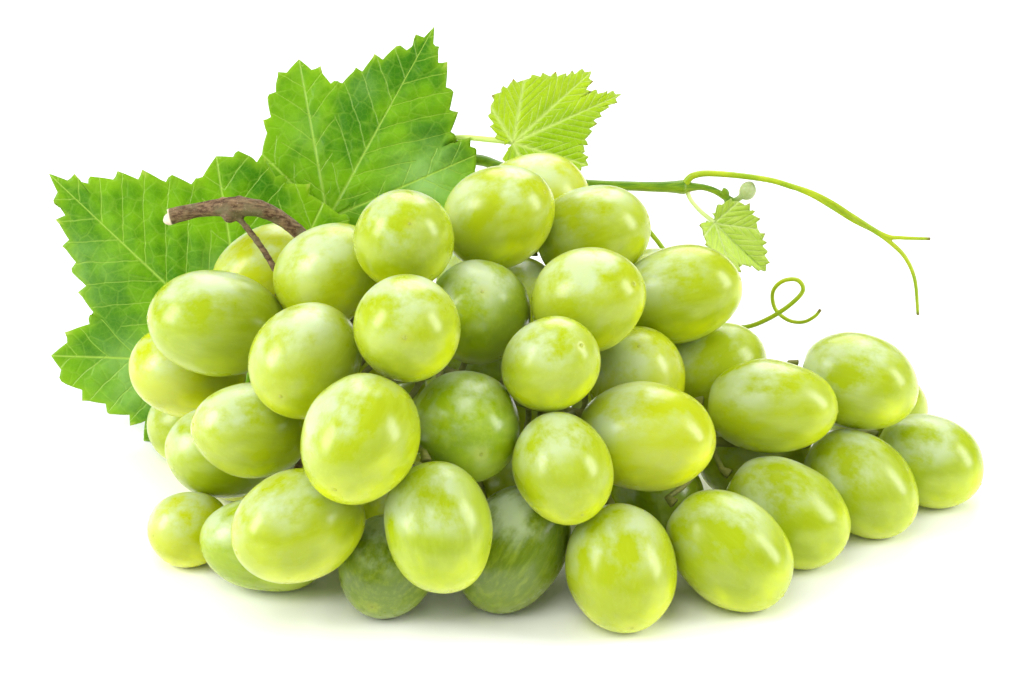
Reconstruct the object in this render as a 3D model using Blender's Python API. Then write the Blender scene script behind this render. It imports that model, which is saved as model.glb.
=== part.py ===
"""A bunch of large white table grapes lying on its side, with its woody stem and a leafy, tendrilled
piece of green shoot standing behind it.

Design frame: millimetres, X to the right along the bunch, Y to the back, Z up from the table.
Everything is modelled there, scaled to metres, and moved at the end so that the origin is the middle
of the bunch's own footprint, on the table.
"""

import heapq
import math

import bmesh
import bpy
import numpy as np
from mathutils import Matrix, Vector

MM = 0.001

# ---------------------------------------------------------------- driving dimensions, mm and degrees
GAP = 0.35            # clear space between neighbouring pieces
FLAT_DEPTH = 0.5      # how far the table flattens a berry that it carries
TABLE_REACH = 3.5     # a berry put no higher than this above the table comes to rest on it
BERRY_SIDES = 12
BERRY_RINGS = 8
NECK_REACH = 1.4      # room kept for the pedicel's head behind each berry
NECK_RADIUS = 1.4

PEDICEL_RADIUS = 0.85
PEDICEL_HEAD_RADIUS = 1.6
PEDICEL_STEP = 3.0
STEM_SIDES = 6
PEDICEL_MOUTH = 2.2   # length of the pedicel's straight end behind its berry
CELL = 1.5             # grid for finding room for the pedicels between the berries
GRID_MARGIN = 14       # how far the grid reaches past the berries' middles
BERRY_ROOM = 20        # a berry narrows the open space no further than this from its middle
WIDEST_ROOM = 9        # pedicels stay this near to some berry
EASING_ROUNDS = 60
FIRMING_ROUNDS = 15    # the last rounds only press a pedicel off the berries
LONGEST_RUN = 4        # most cells that one straight run of a pedicel may span

LEAF_THICKNESS = 0.5
PETIOLE_RADIUS = 1.0
SHOOT_RADIUS = 1.35
TENDRIL_RADIUS = 0.65

# Each berry: centre x, y, z, then which way its tip points (turn about the vertical from +X,
# rise above the table), its length and its width.
BERRIES = {
    # crown of the pile
    "berry_01": (3, 100, 60, 0, 20, 28, 23),
    "berry_02": (-5, 66, 70, -20, 35, 27, 23),
    "berry_03": (-26, 50, 72, -80, 40, 24, 22),
    "berry_04": (17, 76, 62, -5, 20, 27, 22),
    "berry_05": (-43, 66, 57, -30, 30, 28, 22),
    "berry_06": (-59, 87, 48, -170, -25, 28, 21),
    # left end
    "berry_07": (-69, 62, 46, -170, 10, 32, 24),
    "berry_08": (-77, 71, 30, -175, 15, 28, 22),
    "berry_31": (-60, 36, 32, -160, 15, 27, 21),
    "berry_32": (-68, 43, 21, -165, 15, 26, 21),
    "berry_33": (-46, 7, 26, -150, -10, 30, 24),
    "berry_34": (-56, 17, 13, -175, 10, 30, 21),
    "berry_35": (-74, 34, 11, -140, 10, 19, 17),
    # middle of the front face
    "berry_09": (-47, 30, 52, -110, -10, 28, 24),
    "berry_10": (-25, 24, 61, -90, 15, 26, 23),
    "berry_11": (-9, 53, 54, -85, 45, 26, 23),
    "berry_12": (15, 44, 60, -35, 30, 27, 23),
    "berry_13": (36, 68, 48, -10, 20, 30, 22),
    "berry_14": (6, 28, 51, -45, 40, 24, 20),
    "berry_15": (-35, 13, 39, -110, -20, 30, 25),
    "berry_16": (-11, 24, 39, -75, 0, 27, 24),
    "berry_17": (9, 20, 31, -70, -25, 26, 21),
    "berry_18": (27, 30, 34, -20, 5, 31, 24),
    "berry_19": (-19, 6, 24, -75, -45, 29, 23),
    "berry_20": (-1, 14, 14, -135, -45, 30, 23),
    "berry_21": (24, 9, 14, -80, -35, 29, 24),
    "berry_36": (-29, 9, 12, -105, -20, 24, 21),
    "berry_30": (27, 50, 38, -90, 60, 26, 22),
    # tail at the right
    "berry_22": (46, 21, 13, -30, -30, 31, 23.5),
    "berry_23": (62, 36, 13, -25, -25, 30, 23),
    "berry_24": (77, 49, 13, -35, -25, 29, 22),
    "berry_25": (92, 56, 12, -25, -15, 26, 21),
    "berry_26": (57, 50, 31, -10, 0, 30, 21),
    "berry_27": (78, 63, 31, -15, -10, 28, 22),
    "berry_28": (85, 80, 15, 0, 0, 25, 20),
    "berry_29": (44, 66, 34, 15, 25, 26, 21),
    # deep in the pile
    "berry_39": (-11, 66, 36, 5, 0, 25, 20),
    "berry_41": (31, 46, 12, -60, 0, 24, 21),
    "berry_43": (1, 74, 48, 80, 40, 22, 20),
    "berry_52": (-31, 38, 13, -110, 0, 25, 22),
    # back of the pile
    "berry_37": (-75, 73, 12, 175, 0, 24, 20),
    "berry_38": (-68, 60, 12, -175, 0, 24, 20),
    "berry_40": (29, 87, 41, 70, 10, 26, 22),
    "berry_42": (1, 50, 12, 60, 0, 27, 23),
    "berry_44": (-47, 80, 12, 120, 0, 26, 22),
    "berry_45": (-21, 84, 12, 100, 0, 26, 22),
    "berry_46": (4, 86, 12, 90, 0, 26, 22),
    "berry_47": (20, 85, 12, 70, 0, 26, 22),
    "berry_48": (-30, 78, 33, 175, 8, 27, 21),
    "berry_49": (-8, 93, 42, 95, 10, 26, 22),
    "berry_50": (16, 96, 36, 80, 10, 26, 22),
    "berry_51": (55, 64, 12, 0, 0, 27, 22),
}

# The woody stem, from its cut end over the shoulder of the pile and down through its middle.
STEM_ROUTE = [
    (-81, 80, 65), (-74, 80, 66.8), (-66, 79, 68), (-60, 78.5, 67.8), (-55, 78, 65.5), (-50.5, 77, 62),
    (-46, 76, 57.5), (-40, 73, 48), (-30, 68, 40), (-16, 63, 33), (2, 60, 27), (20, 57, 24),
    (38, 54, 21), (54, 55, 19), (66, 58, 17),
]
STEM_RADII = [2.1, 1.8, 2.5, 2.1, 1.8, 1.75, 1.7, 1.7, 1.6, 1.5, 1.5, 1.4, 1.3, 1.2, 0.9]
BURIED_STEM_STARTS = 7       # index in STEM_ROUTE from which pedicels may leave

# The thin side stalk that leaves the stem's knuckle for one of the shoulder berries.
SIDE_STALK = [(-66, 78.5, 67), (-60.5, 76.5, 61.5), (-56, 75, 57.6), (-52.5, 73, 52.5)]
SIDE_STALK_BERRY = "berry_07"


BURIED = {
    "berry_37", "berry_38", "berry_39", "berry_40", "berry_41", "berry_42", "berry_43", "berry_44",
    "berry_45", "berry_46", "berry_47", "berry_48", "berry_49", "berry_50", "berry_51", "berry_52",
}
ROUNDS = 500
NEIGHBOUR_REACH = 38  # berries whose middles are further apart than this never touch
SPRING = 0.06         # how strongly a berry keeps its place
BURIED_YIELD = 6.0    # the berries behind give way this much more easily
PILE_DEPTH = np.array([0, 0.906, -0.423])     # the way into the pile, square to its sloping front
DEPTH_HOLD = 0.2      # they keep their place this weakly along it


# ---------------------------------------------------------------- small helpers
def reset_scene():
    for obj in list(bpy.data.objects):
        bpy.data.objects.remove(obj)


def finish_material(name, colour, roughness):
    material = bpy.data.materials.new(name)
    material.use_nodes = True
    shader = material.node_tree.nodes["Principled BSDF"]
    shader.inputs["Base Color"].default_value = (*colour, 1)
    shader.inputs["Roughness"].default_value = roughness
    shader.inputs["Metallic"].default_value = 0
    return material


def unit(vector):
    vector = np.asarray(vector, float)
    return vector / np.linalg.norm(vector)


def direction(turn, rise):
    turn, rise = math.radians(turn), math.radians(rise)
    return np.array([math.cos(rise) * math.cos(turn), math.cos(rise) * math.sin(turn), math.sin(rise)])


def smooth_route(points, step):
    """Points about one step apart on a Catmull-Rom curve through the given ones, and their parameters."""
    points = np.asarray(points, float)
    ends = np.vstack([2 * points[0] - points[1], points, 2 * points[-1] - points[-2]])
    route, where = [], []
    for i in range(len(points) - 1):
        a, b, c, d = ends[i : i + 4]
        count = max(1, round(np.linalg.norm(c - b) / step))
        for t in np.arange(count) / count:
            route.append(
                0.5 * (2 * b + (c - a) * t + (2 * a - 5 * b + 4 * c - d) * t**2 + (3 * b - a - 3 * c + d) * t**3)
            )
            where.append(i + t)
    return np.array(route + [points[-1]]), np.array(where + [len(points) - 1])


def solid_object(name, mesh, material):
    mesh.materials.clear()
    mesh.materials.append(material)
    obj = bpy.data.objects.new(name, mesh)
    bpy.context.scene.collection.objects.link(obj)
    return obj


def tube_mesh(route, radii, sides):
    """A round bar along a route: a bevelled poly curve with filled caps, made one closed mesh."""
    curve = bpy.data.curves.new("bar", "CURVE")
    curve.dimensions = "3D"
    curve.bevel_depth = MM
    curve.bevel_resolution = sides // 2 - 2
    curve.use_fill_caps = True
    spline = curve.splines.new("POLY")
    spline.points.add(len(route) - 1)
    for point, place, radius in zip(spline.points, route, radii):
        point.co = (*(Vector(place) * MM), 1)
        point.radius = radius
    guide = bpy.data.objects.new("bar", curve)
    bpy.context.scene.collection.objects.link(guide)
    bpy.context.view_layer.update()
    mesh = bpy.data.meshes.new_from_object(guide.evaluated_get(bpy.context.evaluated_depsgraph_get()))
    bpy.data.objects.remove(guide)
    work = bmesh.new()
    work.from_mesh(mesh)
    bmesh.ops.remove_doubles(work, verts=work.verts, dist=1e-6)
    work.normal_update()
    bmesh.ops.recalc_face_normals(work, faces=work.faces)
    work.to_mesh(mesh)
    work.free()
    return mesh


def union(name, meshes, material):
    """One body from overlapping closed meshes, by a Boolean union over a collection of helpers."""
    helpers = bpy.data.collections.new(name + "_helpers")
    bpy.context.scene.collection.children.link(helpers)
    base = solid_object(name, meshes[0], material)
    for mesh in meshes[1:]:
        helpers.objects.link(bpy.data.objects.new(name + "_helper", mesh))
    join = base.modifiers.new("join", "BOOLEAN")
    join.operation = "UNION"
    join.operand_type = "COLLECTION"
    join.collection = helpers
    join.solver = "EXACT"
    bpy.context.view_layer.update()
    joined = bpy.data.meshes.new_from_object(base.evaluated_get(bpy.context.evaluated_depsgraph_get()))
    base.modifiers.remove(join)
    base.data = joined
    joined.materials.clear()
    joined.materials.append(material)
    for obj in list(helpers.objects):
        bpy.data.objects.remove(obj)
    bpy.data.collections.remove(helpers)
    return base


# ---------------------------------------------------------------- berries
CHAIN = 7      # balls that stand for one berry while the pile settles


class Pile:
    """The berries as ellipsoids of revolution, each also as a chain of balls that fit inside it."""

    def __init__(self):
        rows = np.array(list(BERRIES.values()), float)
        self.names = list(BERRIES)
        self.centre = rows[:, :3].copy()
        self.tip = np.array([direction(row[3], row[4]) for row in rows])
        self.half_length = rows[:, 5] / 2
        self.half_width = rows[:, 6] / 2
        focus = self.half_length**2 - self.half_width**2
        along = np.linspace(-1, 1, CHAIN)[None, :] * (focus / self.half_length)[:, None]
        ball = self.half_width[:, None] * np.sqrt(1 - along**2 / focus[:, None])
        neck = -(self.half_length + NECK_REACH)[:, None]
        self.along = np.hstack([along, neck])
        self.ball = np.hstack([ball, np.full((len(rows), 1), NECK_RADIUS)])
        sine = self.tip[:, 2]
        self.stands = np.sqrt(self.half_length**2 * sine**2 + self.half_width**2 * (1 - sine**2))
        self.on_table = self.centre[:, 2] < self.stands + TABLE_REACH
        self.yields = np.array([BURIED_YIELD if name in BURIED else 1.0 for name in self.names])

    def balls(self, with_neck=True):
        last = CHAIN + 1 if with_neck else CHAIN
        along, ball = self.along[:, :last], self.ball[:, :last]
        middle = self.centre[:, None, :] + self.tip[:, None, :] * along[:, :, None]
        return middle, ball

    def settle(self, bars):
        """Pushes overlapping berries apart, and off the stem, while each stays near where it was put."""
        wanted = self.centre.copy()
        bar_place = np.vstack([route for route, _ in bars])
        bar_radius = np.concatenate([radius for _, radius in bars])
        first, second = np.triu_indices(len(self.centre), 1)
        share = self.yields[second] / (self.yields[first] + self.yields[second])
        every_berry = np.arange(len(self.centre))
        for turn in range(ROUNDS):
            middle, ball = self.balls()
            push = np.zeros_like(self.centre)
            close = np.linalg.norm(self.centre[first] - self.centre[second], axis=1) < NEIGHBOUR_REACH
            one, two = first[close], second[close]
            apart = middle[one][:, :, None, :] - middle[two][:, None, :, :]
            distance = np.linalg.norm(apart, axis=3)
            short = ball[one][:, :, None] + ball[two][:, None, :] + GAP - distance
            short[:, CHAIN, CHAIN] = -1
            rows = np.arange(len(one))
            k = np.argmax(short.reshape(len(one), -1), axis=1)
            deep = np.maximum(short.reshape(len(one), -1)[rows, k], 0)
            step = apart.reshape(len(one), -1, 3)[rows, k] / distance.reshape(len(one), -1)[rows, k, None]
            step *= deep[:, None]
            np.add.at(push, one, step * (1 - share[close])[:, None])
            np.add.at(push, two, -step * share[close][:, None])
            away = middle[:, :CHAIN, None, :] - bar_place[None, None, :, :]
            distance = np.linalg.norm(away, axis=3)
            short = ball[:, :CHAIN, None] + bar_radius[None, None, :] + GAP - distance
            short = short.reshape(len(every_berry), -1)
            k = np.argmax(short, axis=1)
            deep = np.maximum(short[every_berry, k], 0)
            step = away.reshape(len(every_berry), -1, 3)[every_berry, k]
            step /= distance.reshape(len(every_berry), -1)[every_berry, k, None]
            push += step * deep[:, None]
            back = wanted - self.centre
            deepwise = (back @ PILE_DEPTH)[:, None] * PILE_DEPTH
            hold = SPRING * (1 - turn / ROUNDS) ** 1.5 / self.yields[:, None]
            self.centre += 0.5 * push + hold * (back - deepwise * (1 - DEPTH_HOLD))
            floor = self.stands - FLAT_DEPTH
            self.centre[:, 2] = np.where(
                self.on_table, floor, np.maximum(self.centre[:, 2], self.stands + GAP)
            )

    def stem_end(self, i, beyond):
        return self.centre[i] - self.tip[i] * (self.half_length[i] + beyond)


def berry_object(pile, i, material):
    """A faceted ellipsoid with one line of corners at its lowest side, flattened where the table carries it."""
    work = bmesh.new()
    bmesh.ops.create_uvsphere(work, u_segments=BERRY_SIDES, v_segments=BERRY_RINGS, radius=1)
    tip = Vector(pile.tip[i])
    side = Vector((0, 0, 1)).cross(tip).normalized()
    turned = Matrix((side.cross(tip), side, tip)).transposed().to_4x4()
    half_width, half_length = pile.half_width[i] * MM, pile.half_length[i] * MM
    place = Matrix.Translation(Vector(pile.centre[i]) * MM)
    work.transform(place @ turned @ Matrix.Diagonal((half_width, half_width, half_length, 1)))
    if pile.on_table[i]:
        everything = list(work.verts) + list(work.edges) + list(work.faces)
        cut = bmesh.ops.bisect_plane(
            work, geom=everything, plane_co=(0, 0, 0), plane_no=(0, 0, -1), clear_outer=True
        )
        rim = [part for part in cut["geom_cut"] if isinstance(part, bmesh.types.BMEdge)]
        bmesh.ops.contextual_create(work, geom=rim)
    work.normal_update()
    bmesh.ops.recalc_face_normals(work, faces=work.faces)
    mesh = bpy.data.meshes.new(pile.names[i])
    work.to_mesh(mesh)
    work.free()
    mesh.shade_smooth()
    return solid_object(pile.names[i], mesh, material)


# ---------------------------------------------------------------- woody stem with its pedicels
def stem_curve():
    route, where = smooth_route(STEM_ROUTE, 2.5)
    return route, np.interp(where, np.arange(len(STEM_RADII)), STEM_RADII), where


class Ways:
    """The open space between the berries as a grid of cells, each knowing its next cell towards the stem."""

    def __init__(self, pile, buried_stem):
        middle, ball = pile.balls(with_neck=False)
        self.middle, self.ball = middle.reshape(-1, 3), ball.reshape(-1)
        self.low = self.middle.min(axis=0) - GRID_MARGIN
        high = self.middle.max(axis=0) + GRID_MARGIN
        self.shape = np.ceil((high - self.low) / CELL).astype(int) + 1
        axes = [self.low[k] + CELL * np.arange(self.shape[k]) for k in range(3)]
        room = np.full(self.shape, 1e3)
        for centre, radius in zip(self.middle, self.ball):
            part = [slice(*np.searchsorted(axes[k], (centre[k] - BERRY_ROOM, centre[k] + BERRY_ROOM))) for k in range(3)]
            x, y, z = np.meshgrid(*[axes[k][part[k]] for k in range(3)], indexing="ij")
            gap = np.sqrt((x - centre[0]) ** 2 + (y - centre[1]) ** 2 + (z - centre[2]) ** 2) - radius
            room[tuple(part)] = np.minimum(room[tuple(part)], gap)
        room[:, :, axes[2] < PEDICEL_RADIUS + 1] = -1
        for k in range(3):
            edges = [slice(None)] * 3
            edges[k] = [0, -1]
            room[tuple(edges)] = -1
        self.room = room.reshape(-1)
        self.step_back = np.full(self.room.size, -1)
        self.flood(buried_stem)

    def cell(self, point):
        return int(np.ravel_multi_index(np.rint((point - self.low) / CELL).astype(int), self.shape))

    def place(self, cell):
        return self.low + CELL * np.array(np.unravel_index(cell, self.shape))

    def flood(self, buried_stem):
        """Shortest ways from the stem through every open cell near the berries."""
        steps = []
        for dx in (-1, 0, 1):
            for dy in (-1, 0, 1):
                for dz in (-1, 0, 1):
                    if dx or dy or dz:
                        jump = (dx * self.shape[1] + dy) * self.shape[2] + dz
                        steps.append((int(jump), CELL * math.sqrt(dx * dx + dy * dy + dz * dz)))
        room = self.room.tolist()
        open_room = PEDICEL_RADIUS + GAP
        far = [1e9] * len(room)
        queue = []
        for point in buried_stem:
            start = self.cell(point)
            far[start] = 0
            heapq.heappush(queue, (0, start))
        back = self.step_back
        while queue:
            cost, here = heapq.heappop(queue)
            if cost > far[here]:
                continue
            for jump, length in steps:
                there = here + jump
                space = room[there]
                if space < open_room or space > WIDEST_ROOM:
                    continue
                total = cost + length * (1 + 1 / space)
                if total < far[there]:
                    far[there] = total
                    back[there] = here
                    heapq.heappush(queue, (total, there))
        self.far = far

    def entry(self, point):
        """The open cell nearest to a point that has a way back to the stem."""
        centre = np.rint((point - self.low) / CELL).astype(int)
        best = None
        for offset in np.ndindex(7, 7, 7):
            there = centre + np.array(offset) - 3
            cell = int(np.ravel_multi_index(there, self.shape, mode="clip"))
            if self.step_back[cell] < 0:
                continue
            score = np.linalg.norm(self.place(cell) - point) * 4 + self.far[cell]
            if best is None or score < best[0]:
                best = (score, cell)
        return best[1]


def eased(path, fixed_end, ways):
    """Smooths a path and keeps it off the berries. Its ends stay where they are."""
    clear = ways.ball + PEDICEL_RADIUS + GAP
    last = len(path) - fixed_end
    for turn in range(EASING_ROUNDS):
        if turn < EASING_ROUNDS - FIRMING_ROUNDS:
            path[1:last] += 0.35 * ((path[: last - 1] + path[2 : last + 1]) / 2 - path[1:last])
        apart = path[1:last, None, :] - ways.middle[None, :, :]
        distance = np.linalg.norm(apart, axis=2)
        short = clear[None, :] - distance
        worst = np.argmax(short, axis=1)
        rows = np.arange(len(worst))
        deep = np.maximum(short[rows, worst], 0)
        path[1:last] += apart[rows, worst] / distance[rows, worst][:, None] * deep[:, None]
        path[1:last, 2] = np.maximum(path[1:last, 2], PEDICEL_RADIUS + 0.4)
    return path


def plainer(path, ways):
    """The same path with fewer points, as long as its straight runs still clear the berries."""
    clear = ways.ball + PEDICEL_RADIUS + 0.7 * GAP
    kept = [0]
    while kept[-1] < len(path) - 1:
        here = kept[-1]
        ahead = min(here + LONGEST_RUN, len(path) - 1)
        while ahead > here + 1:
            along = path[here] + (path[ahead] - path[here]) * np.linspace(0, 1, 9)[:, None]
            if (np.linalg.norm(along[:, None] - ways.middle[None], axis=2) > clear).all():
                break
            ahead -= 1
        kept.append(ahead)
    if kept[-2] != len(path) - 2:
        kept.insert(-1, len(path) - 2)
    return path[kept]


def pedicel_routes(pile, buried_stem):
    """Branches from the stem to every berry, each leaving the first bark it meets on its way."""
    ways = Ways(pile, buried_stem)
    bark = {}
    for point in buried_stem:
        bark[ways.cell(point)] = point
    entries = [ways.entry(pile.stem_end(i, GAP + PEDICEL_MOUTH)) for i in range(len(pile.names))]
    routes = {}
    for i in sorted(range(len(pile.names)), key=lambda i: ways.far[entries[i]]):
        if pile.names[i] == SIDE_STALK_BERRY:
            continue
        cells = [entries[i]]
        while cells[-1] not in bark:
            cells.append(int(ways.step_back[cells[-1]]))
        cells.reverse()
        path = [bark[cells[0]]] + [ways.place(cell) for cell in cells[1:]]
        path = path + [pile.stem_end(i, GAP + PEDICEL_MOUTH), pile.stem_end(i, GAP)]
        path = eased(np.array(path, float), 2, ways)
        for cell, point in zip(cells[1:], path[1:]):
            bark[cell] = point
        routes[pile.names[i]] = plainer(path, ways)
    i = pile.names.index(SIDE_STALK_BERRY)
    stalk = smooth_route(SIDE_STALK + [pile.stem_end(i, GAP + PEDICEL_MOUTH)], PEDICEL_STEP)[0]
    stalk = eased(np.vstack([stalk, pile.stem_end(i, GAP)]), 2, ways)
    routes[SIDE_STALK_BERRY] = stalk
    return routes


def stem_object(pile, material):
    route, radii, where = stem_curve()
    meshes = [tube_mesh(route, radii, 8)]
    for path in pedicel_routes(pile, route[where >= BURIED_STEM_STARTS]).values():
        thickness = np.full(len(path), PEDICEL_RADIUS)
        thickness[-1] = PEDICEL_HEAD_RADIUS
        meshes.append(tube_mesh(path, thickness, STEM_SIDES))
    return union("stem", meshes, material)


# ---------------------------------------------------------------- leaves
def leaf_radius(outline, angle):
    """Distance from the petiole to the leaf's edge, without teeth, at an angle from the midrib."""
    angles, lengths = zip(*sorted(outline))
    return np.interp(angle, angles, lengths)


def blade_height(spec, u, v):
    """The blade's lift above its own plane: it is cupped, curls over at its tip and waves a little."""
    size = spec["length"]
    cup = spec["cup"] * (u * u) / size + spec["curl"] * v * np.abs(v) / size
    wave = spec["wave"] * np.sin(3 * np.arctan2(u, v) + spec["phase"]) * (u * u + v * v) / size**2
    return cup + wave * size


def leaf_frame(spec):
    base = np.array(spec["base"], float)
    along = unit(np.array(spec["tip"], float) - base)
    face = np.array(spec["faces"], float)
    face = unit(face - (face @ along) * along)
    return base, np.cross(along, face), along, face


def blade_mesh(spec):
    """Rings of points out to the toothed edge, on both faces of the blade, closed by a thin rim."""
    base, across, along, face = leaf_frame(spec)
    outline = [(math.radians(angle), share) for angle, share in spec["outline"]]
    angles = np.linspace(outline[0][0], outline[-1][0], 2 * spec["teeth"] + 1)
    edge = leaf_radius(outline, angles)
    edge[1:-1:2] *= 1 - spec["tooth"]
    shares = (0.35, 0.7, 1.0)
    work = bmesh.new()
    sides = []
    for sheet in (0.5, -0.5):
        rings = []
        for share in shares:
            ring = []
            for angle, length in zip(angles, edge * spec["length"] * share):
                u, v = length * math.sin(angle), length * math.cos(angle)
                w = blade_height(spec, u, v) + sheet * LEAF_THICKNESS
                ring.append(work.verts.new(Vector(base + u * across + v * along + w * face) * MM))
            rings.append(ring)
        middle = work.verts.new(Vector(base + sheet * LEAF_THICKNESS * face) * MM)
        for k in range(len(angles) - 1):
            work.faces.new((middle, rings[0][k], rings[0][k + 1]))
            for inner, outer in zip(rings, rings[1:]):
                work.faces.new((inner[k], outer[k], outer[k + 1], inner[k + 1]))
        sides.append([middle] + [ring[0] for ring in rings] + rings[-1][1:] + [r[-1] for r in rings[-2::-1]])
    for k in range(len(sides[0])):
        after = (k + 1) % len(sides[0])
        work.faces.new((sides[0][k], sides[0][after], sides[1][after], sides[1][k]))
    work.normal_update()
    bmesh.ops.recalc_face_normals(work, faces=work.faces)
    mesh = bpy.data.meshes.new("blade")
    work.to_mesh(mesh)
    work.free()
    return mesh


def leaf_object(name, spec, material):
    route = smooth_route(spec["petiole"], 3)[0]
    stalk = tube_mesh(route, np.full(len(route), PETIOLE_RADIUS * spec["stalk"]), STEM_SIDES)
    return union(name, [blade_mesh(spec), stalk], material)


# Edge of each blade: angle from the midrib, distance from the petiole as a share of the midrib.
LEFT_OUTLINE = [
    (-172, 0.13), (-150, 0.21), (-120, 0.27), (-96, 0.34), (-86, 0.39), (-74, 0.42), (-63, 0.52),
    (-50, 0.66), (-42, 0.73), (-36, 0.65), (-28, 0.58), (-18, 0.66), (-10, 0.78), (-3, 0.88), (0, 1.0),
    (3, 0.89), (10, 0.83), (21, 0.73), (31, 0.67), (38, 0.76), (48, 0.74), (57, 0.67), (68, 0.65),
    (80, 0.63), (95, 0.50), (120, 0.40), (150, 0.30), (172, 0.15),
]
BACK_OUTLINE = [
    (-172, 0.10), (-150, 0.28), (-120, 0.36), (-95, 0.39), (-74, 0.42), (-60, 0.50), (-49, 0.65),
    (-39, 0.74), (-32, 0.64), (-25, 0.60), (-17, 0.67), (-8, 0.79), (-2, 0.87), (0, 1.0), (3, 0.90),
    (9, 0.84), (17, 0.76), (29, 0.65), (36, 0.74), (43, 0.70), (56, 0.55), (75, 0.48), (100, 0.45),
    (130, 0.37), (155, 0.24), (172, 0.10),
]
YOUNG_OUTLINE = [
    (-150, 0.05), (-135, 0.12), (-110, 0.24), (-98, 0.36), (-74, 0.45), (-56, 0.53), (-38, 0.62),
    (-27, 0.70), (-18, 0.89), (-14, 0.78), (-10, 0.74), (-3, 0.87), (0, 1.0), (2, 0.85), (7, 0.72),
    (13, 0.65), (22, 0.60), (32, 0.57), (41, 0.66), (46, 0.56), (55, 0.45), (75, 0.35), (104, 0.26),
    (135, 0.20), (150, 0.05),
]
TIP_OUTLINE = [
    (-140, 0.10), (-120, 0.25), (-90, 0.40), (-60, 0.47), (-35, 0.58), (-15, 0.75), (0, 1.0), (8, 0.75),
    (20, 0.66), (32, 0.82), (40, 0.66), (60, 0.42), (90, 0.30), (120, 0.22), (140, 0.10),
]
LEAVES = {
    "leaf_left": dict(
        base=(-65.5, 99.2, 19), tip=(-113.5, 113.5, 62), faces=(0, -0.95, 0.32), length=66, cup=-0.06,
        curl=-0.05, wave=0.02, phase=0.6, teeth=28, tooth=0.05, outline=LEFT_OUTLINE, stalk=1.1,
        petiole=[(-65.5, 99.7, 19), (-65, 104, 23), (-62, 115, 34), (-58.5, 124, 43.5)],
    ),
    "leaf_back": dict(
        base=(-46.5, 117.8, 48.6), tip=(-21, 139.6, 90.5), faces=(0, -0.89, 0.46), length=54, cup=-0.05,
        curl=-0.06, wave=0.02, phase=-0.4, teeth=28, tooth=0.05, outline=BACK_OUTLINE, stalk=1.1,
        petiole=[(-46.5, 118.2, 48.6), (-46.8, 122, 49.5), (-47, 126, 51)],
    ),
    "leaf_young": dict(
        base=(-1.5, 121.6, 67), tip=(24.7, 129.8, 76.4), faces=(0.14, -0.9, 0.41), length=29, cup=0.10,
        curl=0.06, wave=0.02, phase=0.0, teeth=22, tooth=0.07, outline=YOUNG_OUTLINE, stalk=0.75,
        petiole=[(-1.5, 122, 67), (-7, 125.5, 66.2), (-14, 130, 65), (-21, 132, 63.5), (-26, 131.5, 61.8)],
    ),
    "leaf_tip": dict(
        base=(47.5, 118, 47.5), tip=(59.5, 115, 35.5), faces=(0.5, -0.85, 0.1), length=17, cup=0.35,
        curl=0.15, wave=0.03, phase=1.0, teeth=14, tooth=0.08, outline=TIP_OUTLINE, stalk=0.6,
        petiole=[(47.5, 118.2, 47.5), (44.5, 119.8, 50.3), (42.6, 120.8, 52.4)],
    ),
}

# ---------------------------------------------------------------- green shoot and its tendrils
SHOOT_ROUTE = [
    (-92, 124, 2.2), (-84, 127, 14), (-72, 129, 30), (-58, 130, 43.5), (-42, 131, 53), (-26, 131.5, 58),
    (-11, 130.5, 59), (-3, 128, 57.6), (13.5, 124.5, 55.3), (29, 123, 55), (40.3, 122, 55.2),
]
SHOOT_RADII = [1.7, 1.6, 1.6, 1.7, 1.7, 1.7, 1.4, 1.3, 1.2, 1.2, 1.6]
SHOOT_BUD_STALK = [(40.3, 122, 55.2), (44.5, 122, 55.2), (48, 122, 54), (52, 121.3, 51.6)]
SHOOT_BUD = ((55.6, 121.5, 54.5), 2.3)
SHOOT_BUD_NECK = [(52, 121.3, 51.6), (53.2, 121.3, 52.3), (55, 121.4, 53.8)]
FORKED_TENDRIL = [
    (42, 121.8, 58), (46, 121.5, 59), (53.5, 121, 58.6), (61, 120, 57.8), (66, 119, 56.6),
    (71, 118, 55.2), (80, 116, 50.2), (88.5, 115, 45.4), (93, 114, 45.2), (99.5, 112, 45.8),
]
TENDRIL_BRANCH = [(86, 115.4, 46.8), (90.5, 114.6, 43.6), (94, 114, 39.8), (96.4, 113, 34.4), (97.5, 112, 25.5)]
CURLED_TENDRIL = [
    (11, 122, 53.6), (19.5, 120, 51.4), (28.5, 118, 48.2), (33, 115, 44.6), (37, 112, 39.8), (43.5, 106, 32.4),
    (49.5, 102, 27.6), (54.4, 100, 27.8), (59.7, 98.4, 30.7), (64.8, 97.6, 34.8), (67.8, 98, 38.4),
    (66.4, 99.2, 40.6), (63, 100.6, 39.6), (60.9, 101.6, 36.3), (61.6, 101.4, 32), (64.7, 100.4, 29.5),
    (68.2, 99, 29.6), (70.9, 98, 31.6), (72.2, 98, 33.4),
]


def bud_mesh():
    place, radius = SHOOT_BUD
    work = bmesh.new()
    bmesh.ops.create_uvsphere(work, u_segments=10, v_segments=7, radius=radius * MM)
    bmesh.ops.translate(work, verts=work.verts, vec=Vector(place) * MM)
    mesh = bpy.data.meshes.new("bud")
    work.to_mesh(mesh)
    work.free()
    return mesh


def bar(points, radii, sides, step=3):
    route, where = smooth_route(points, step)
    return tube_mesh(route, np.interp(where, np.arange(len(radii)), radii), sides)


def shoot_object(material):
    stalk = bar(SHOOT_BUD_STALK, [1.0, 0.9, 0.85, 0.8], STEM_SIDES)
    neck = bar(SHOOT_BUD_NECK, [0.7, 0.6, 0.6], STEM_SIDES, 1.5)
    return union("shoot", [bar(SHOOT_ROUTE, SHOOT_RADII, 8), stalk, neck, bud_mesh()], material)


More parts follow.
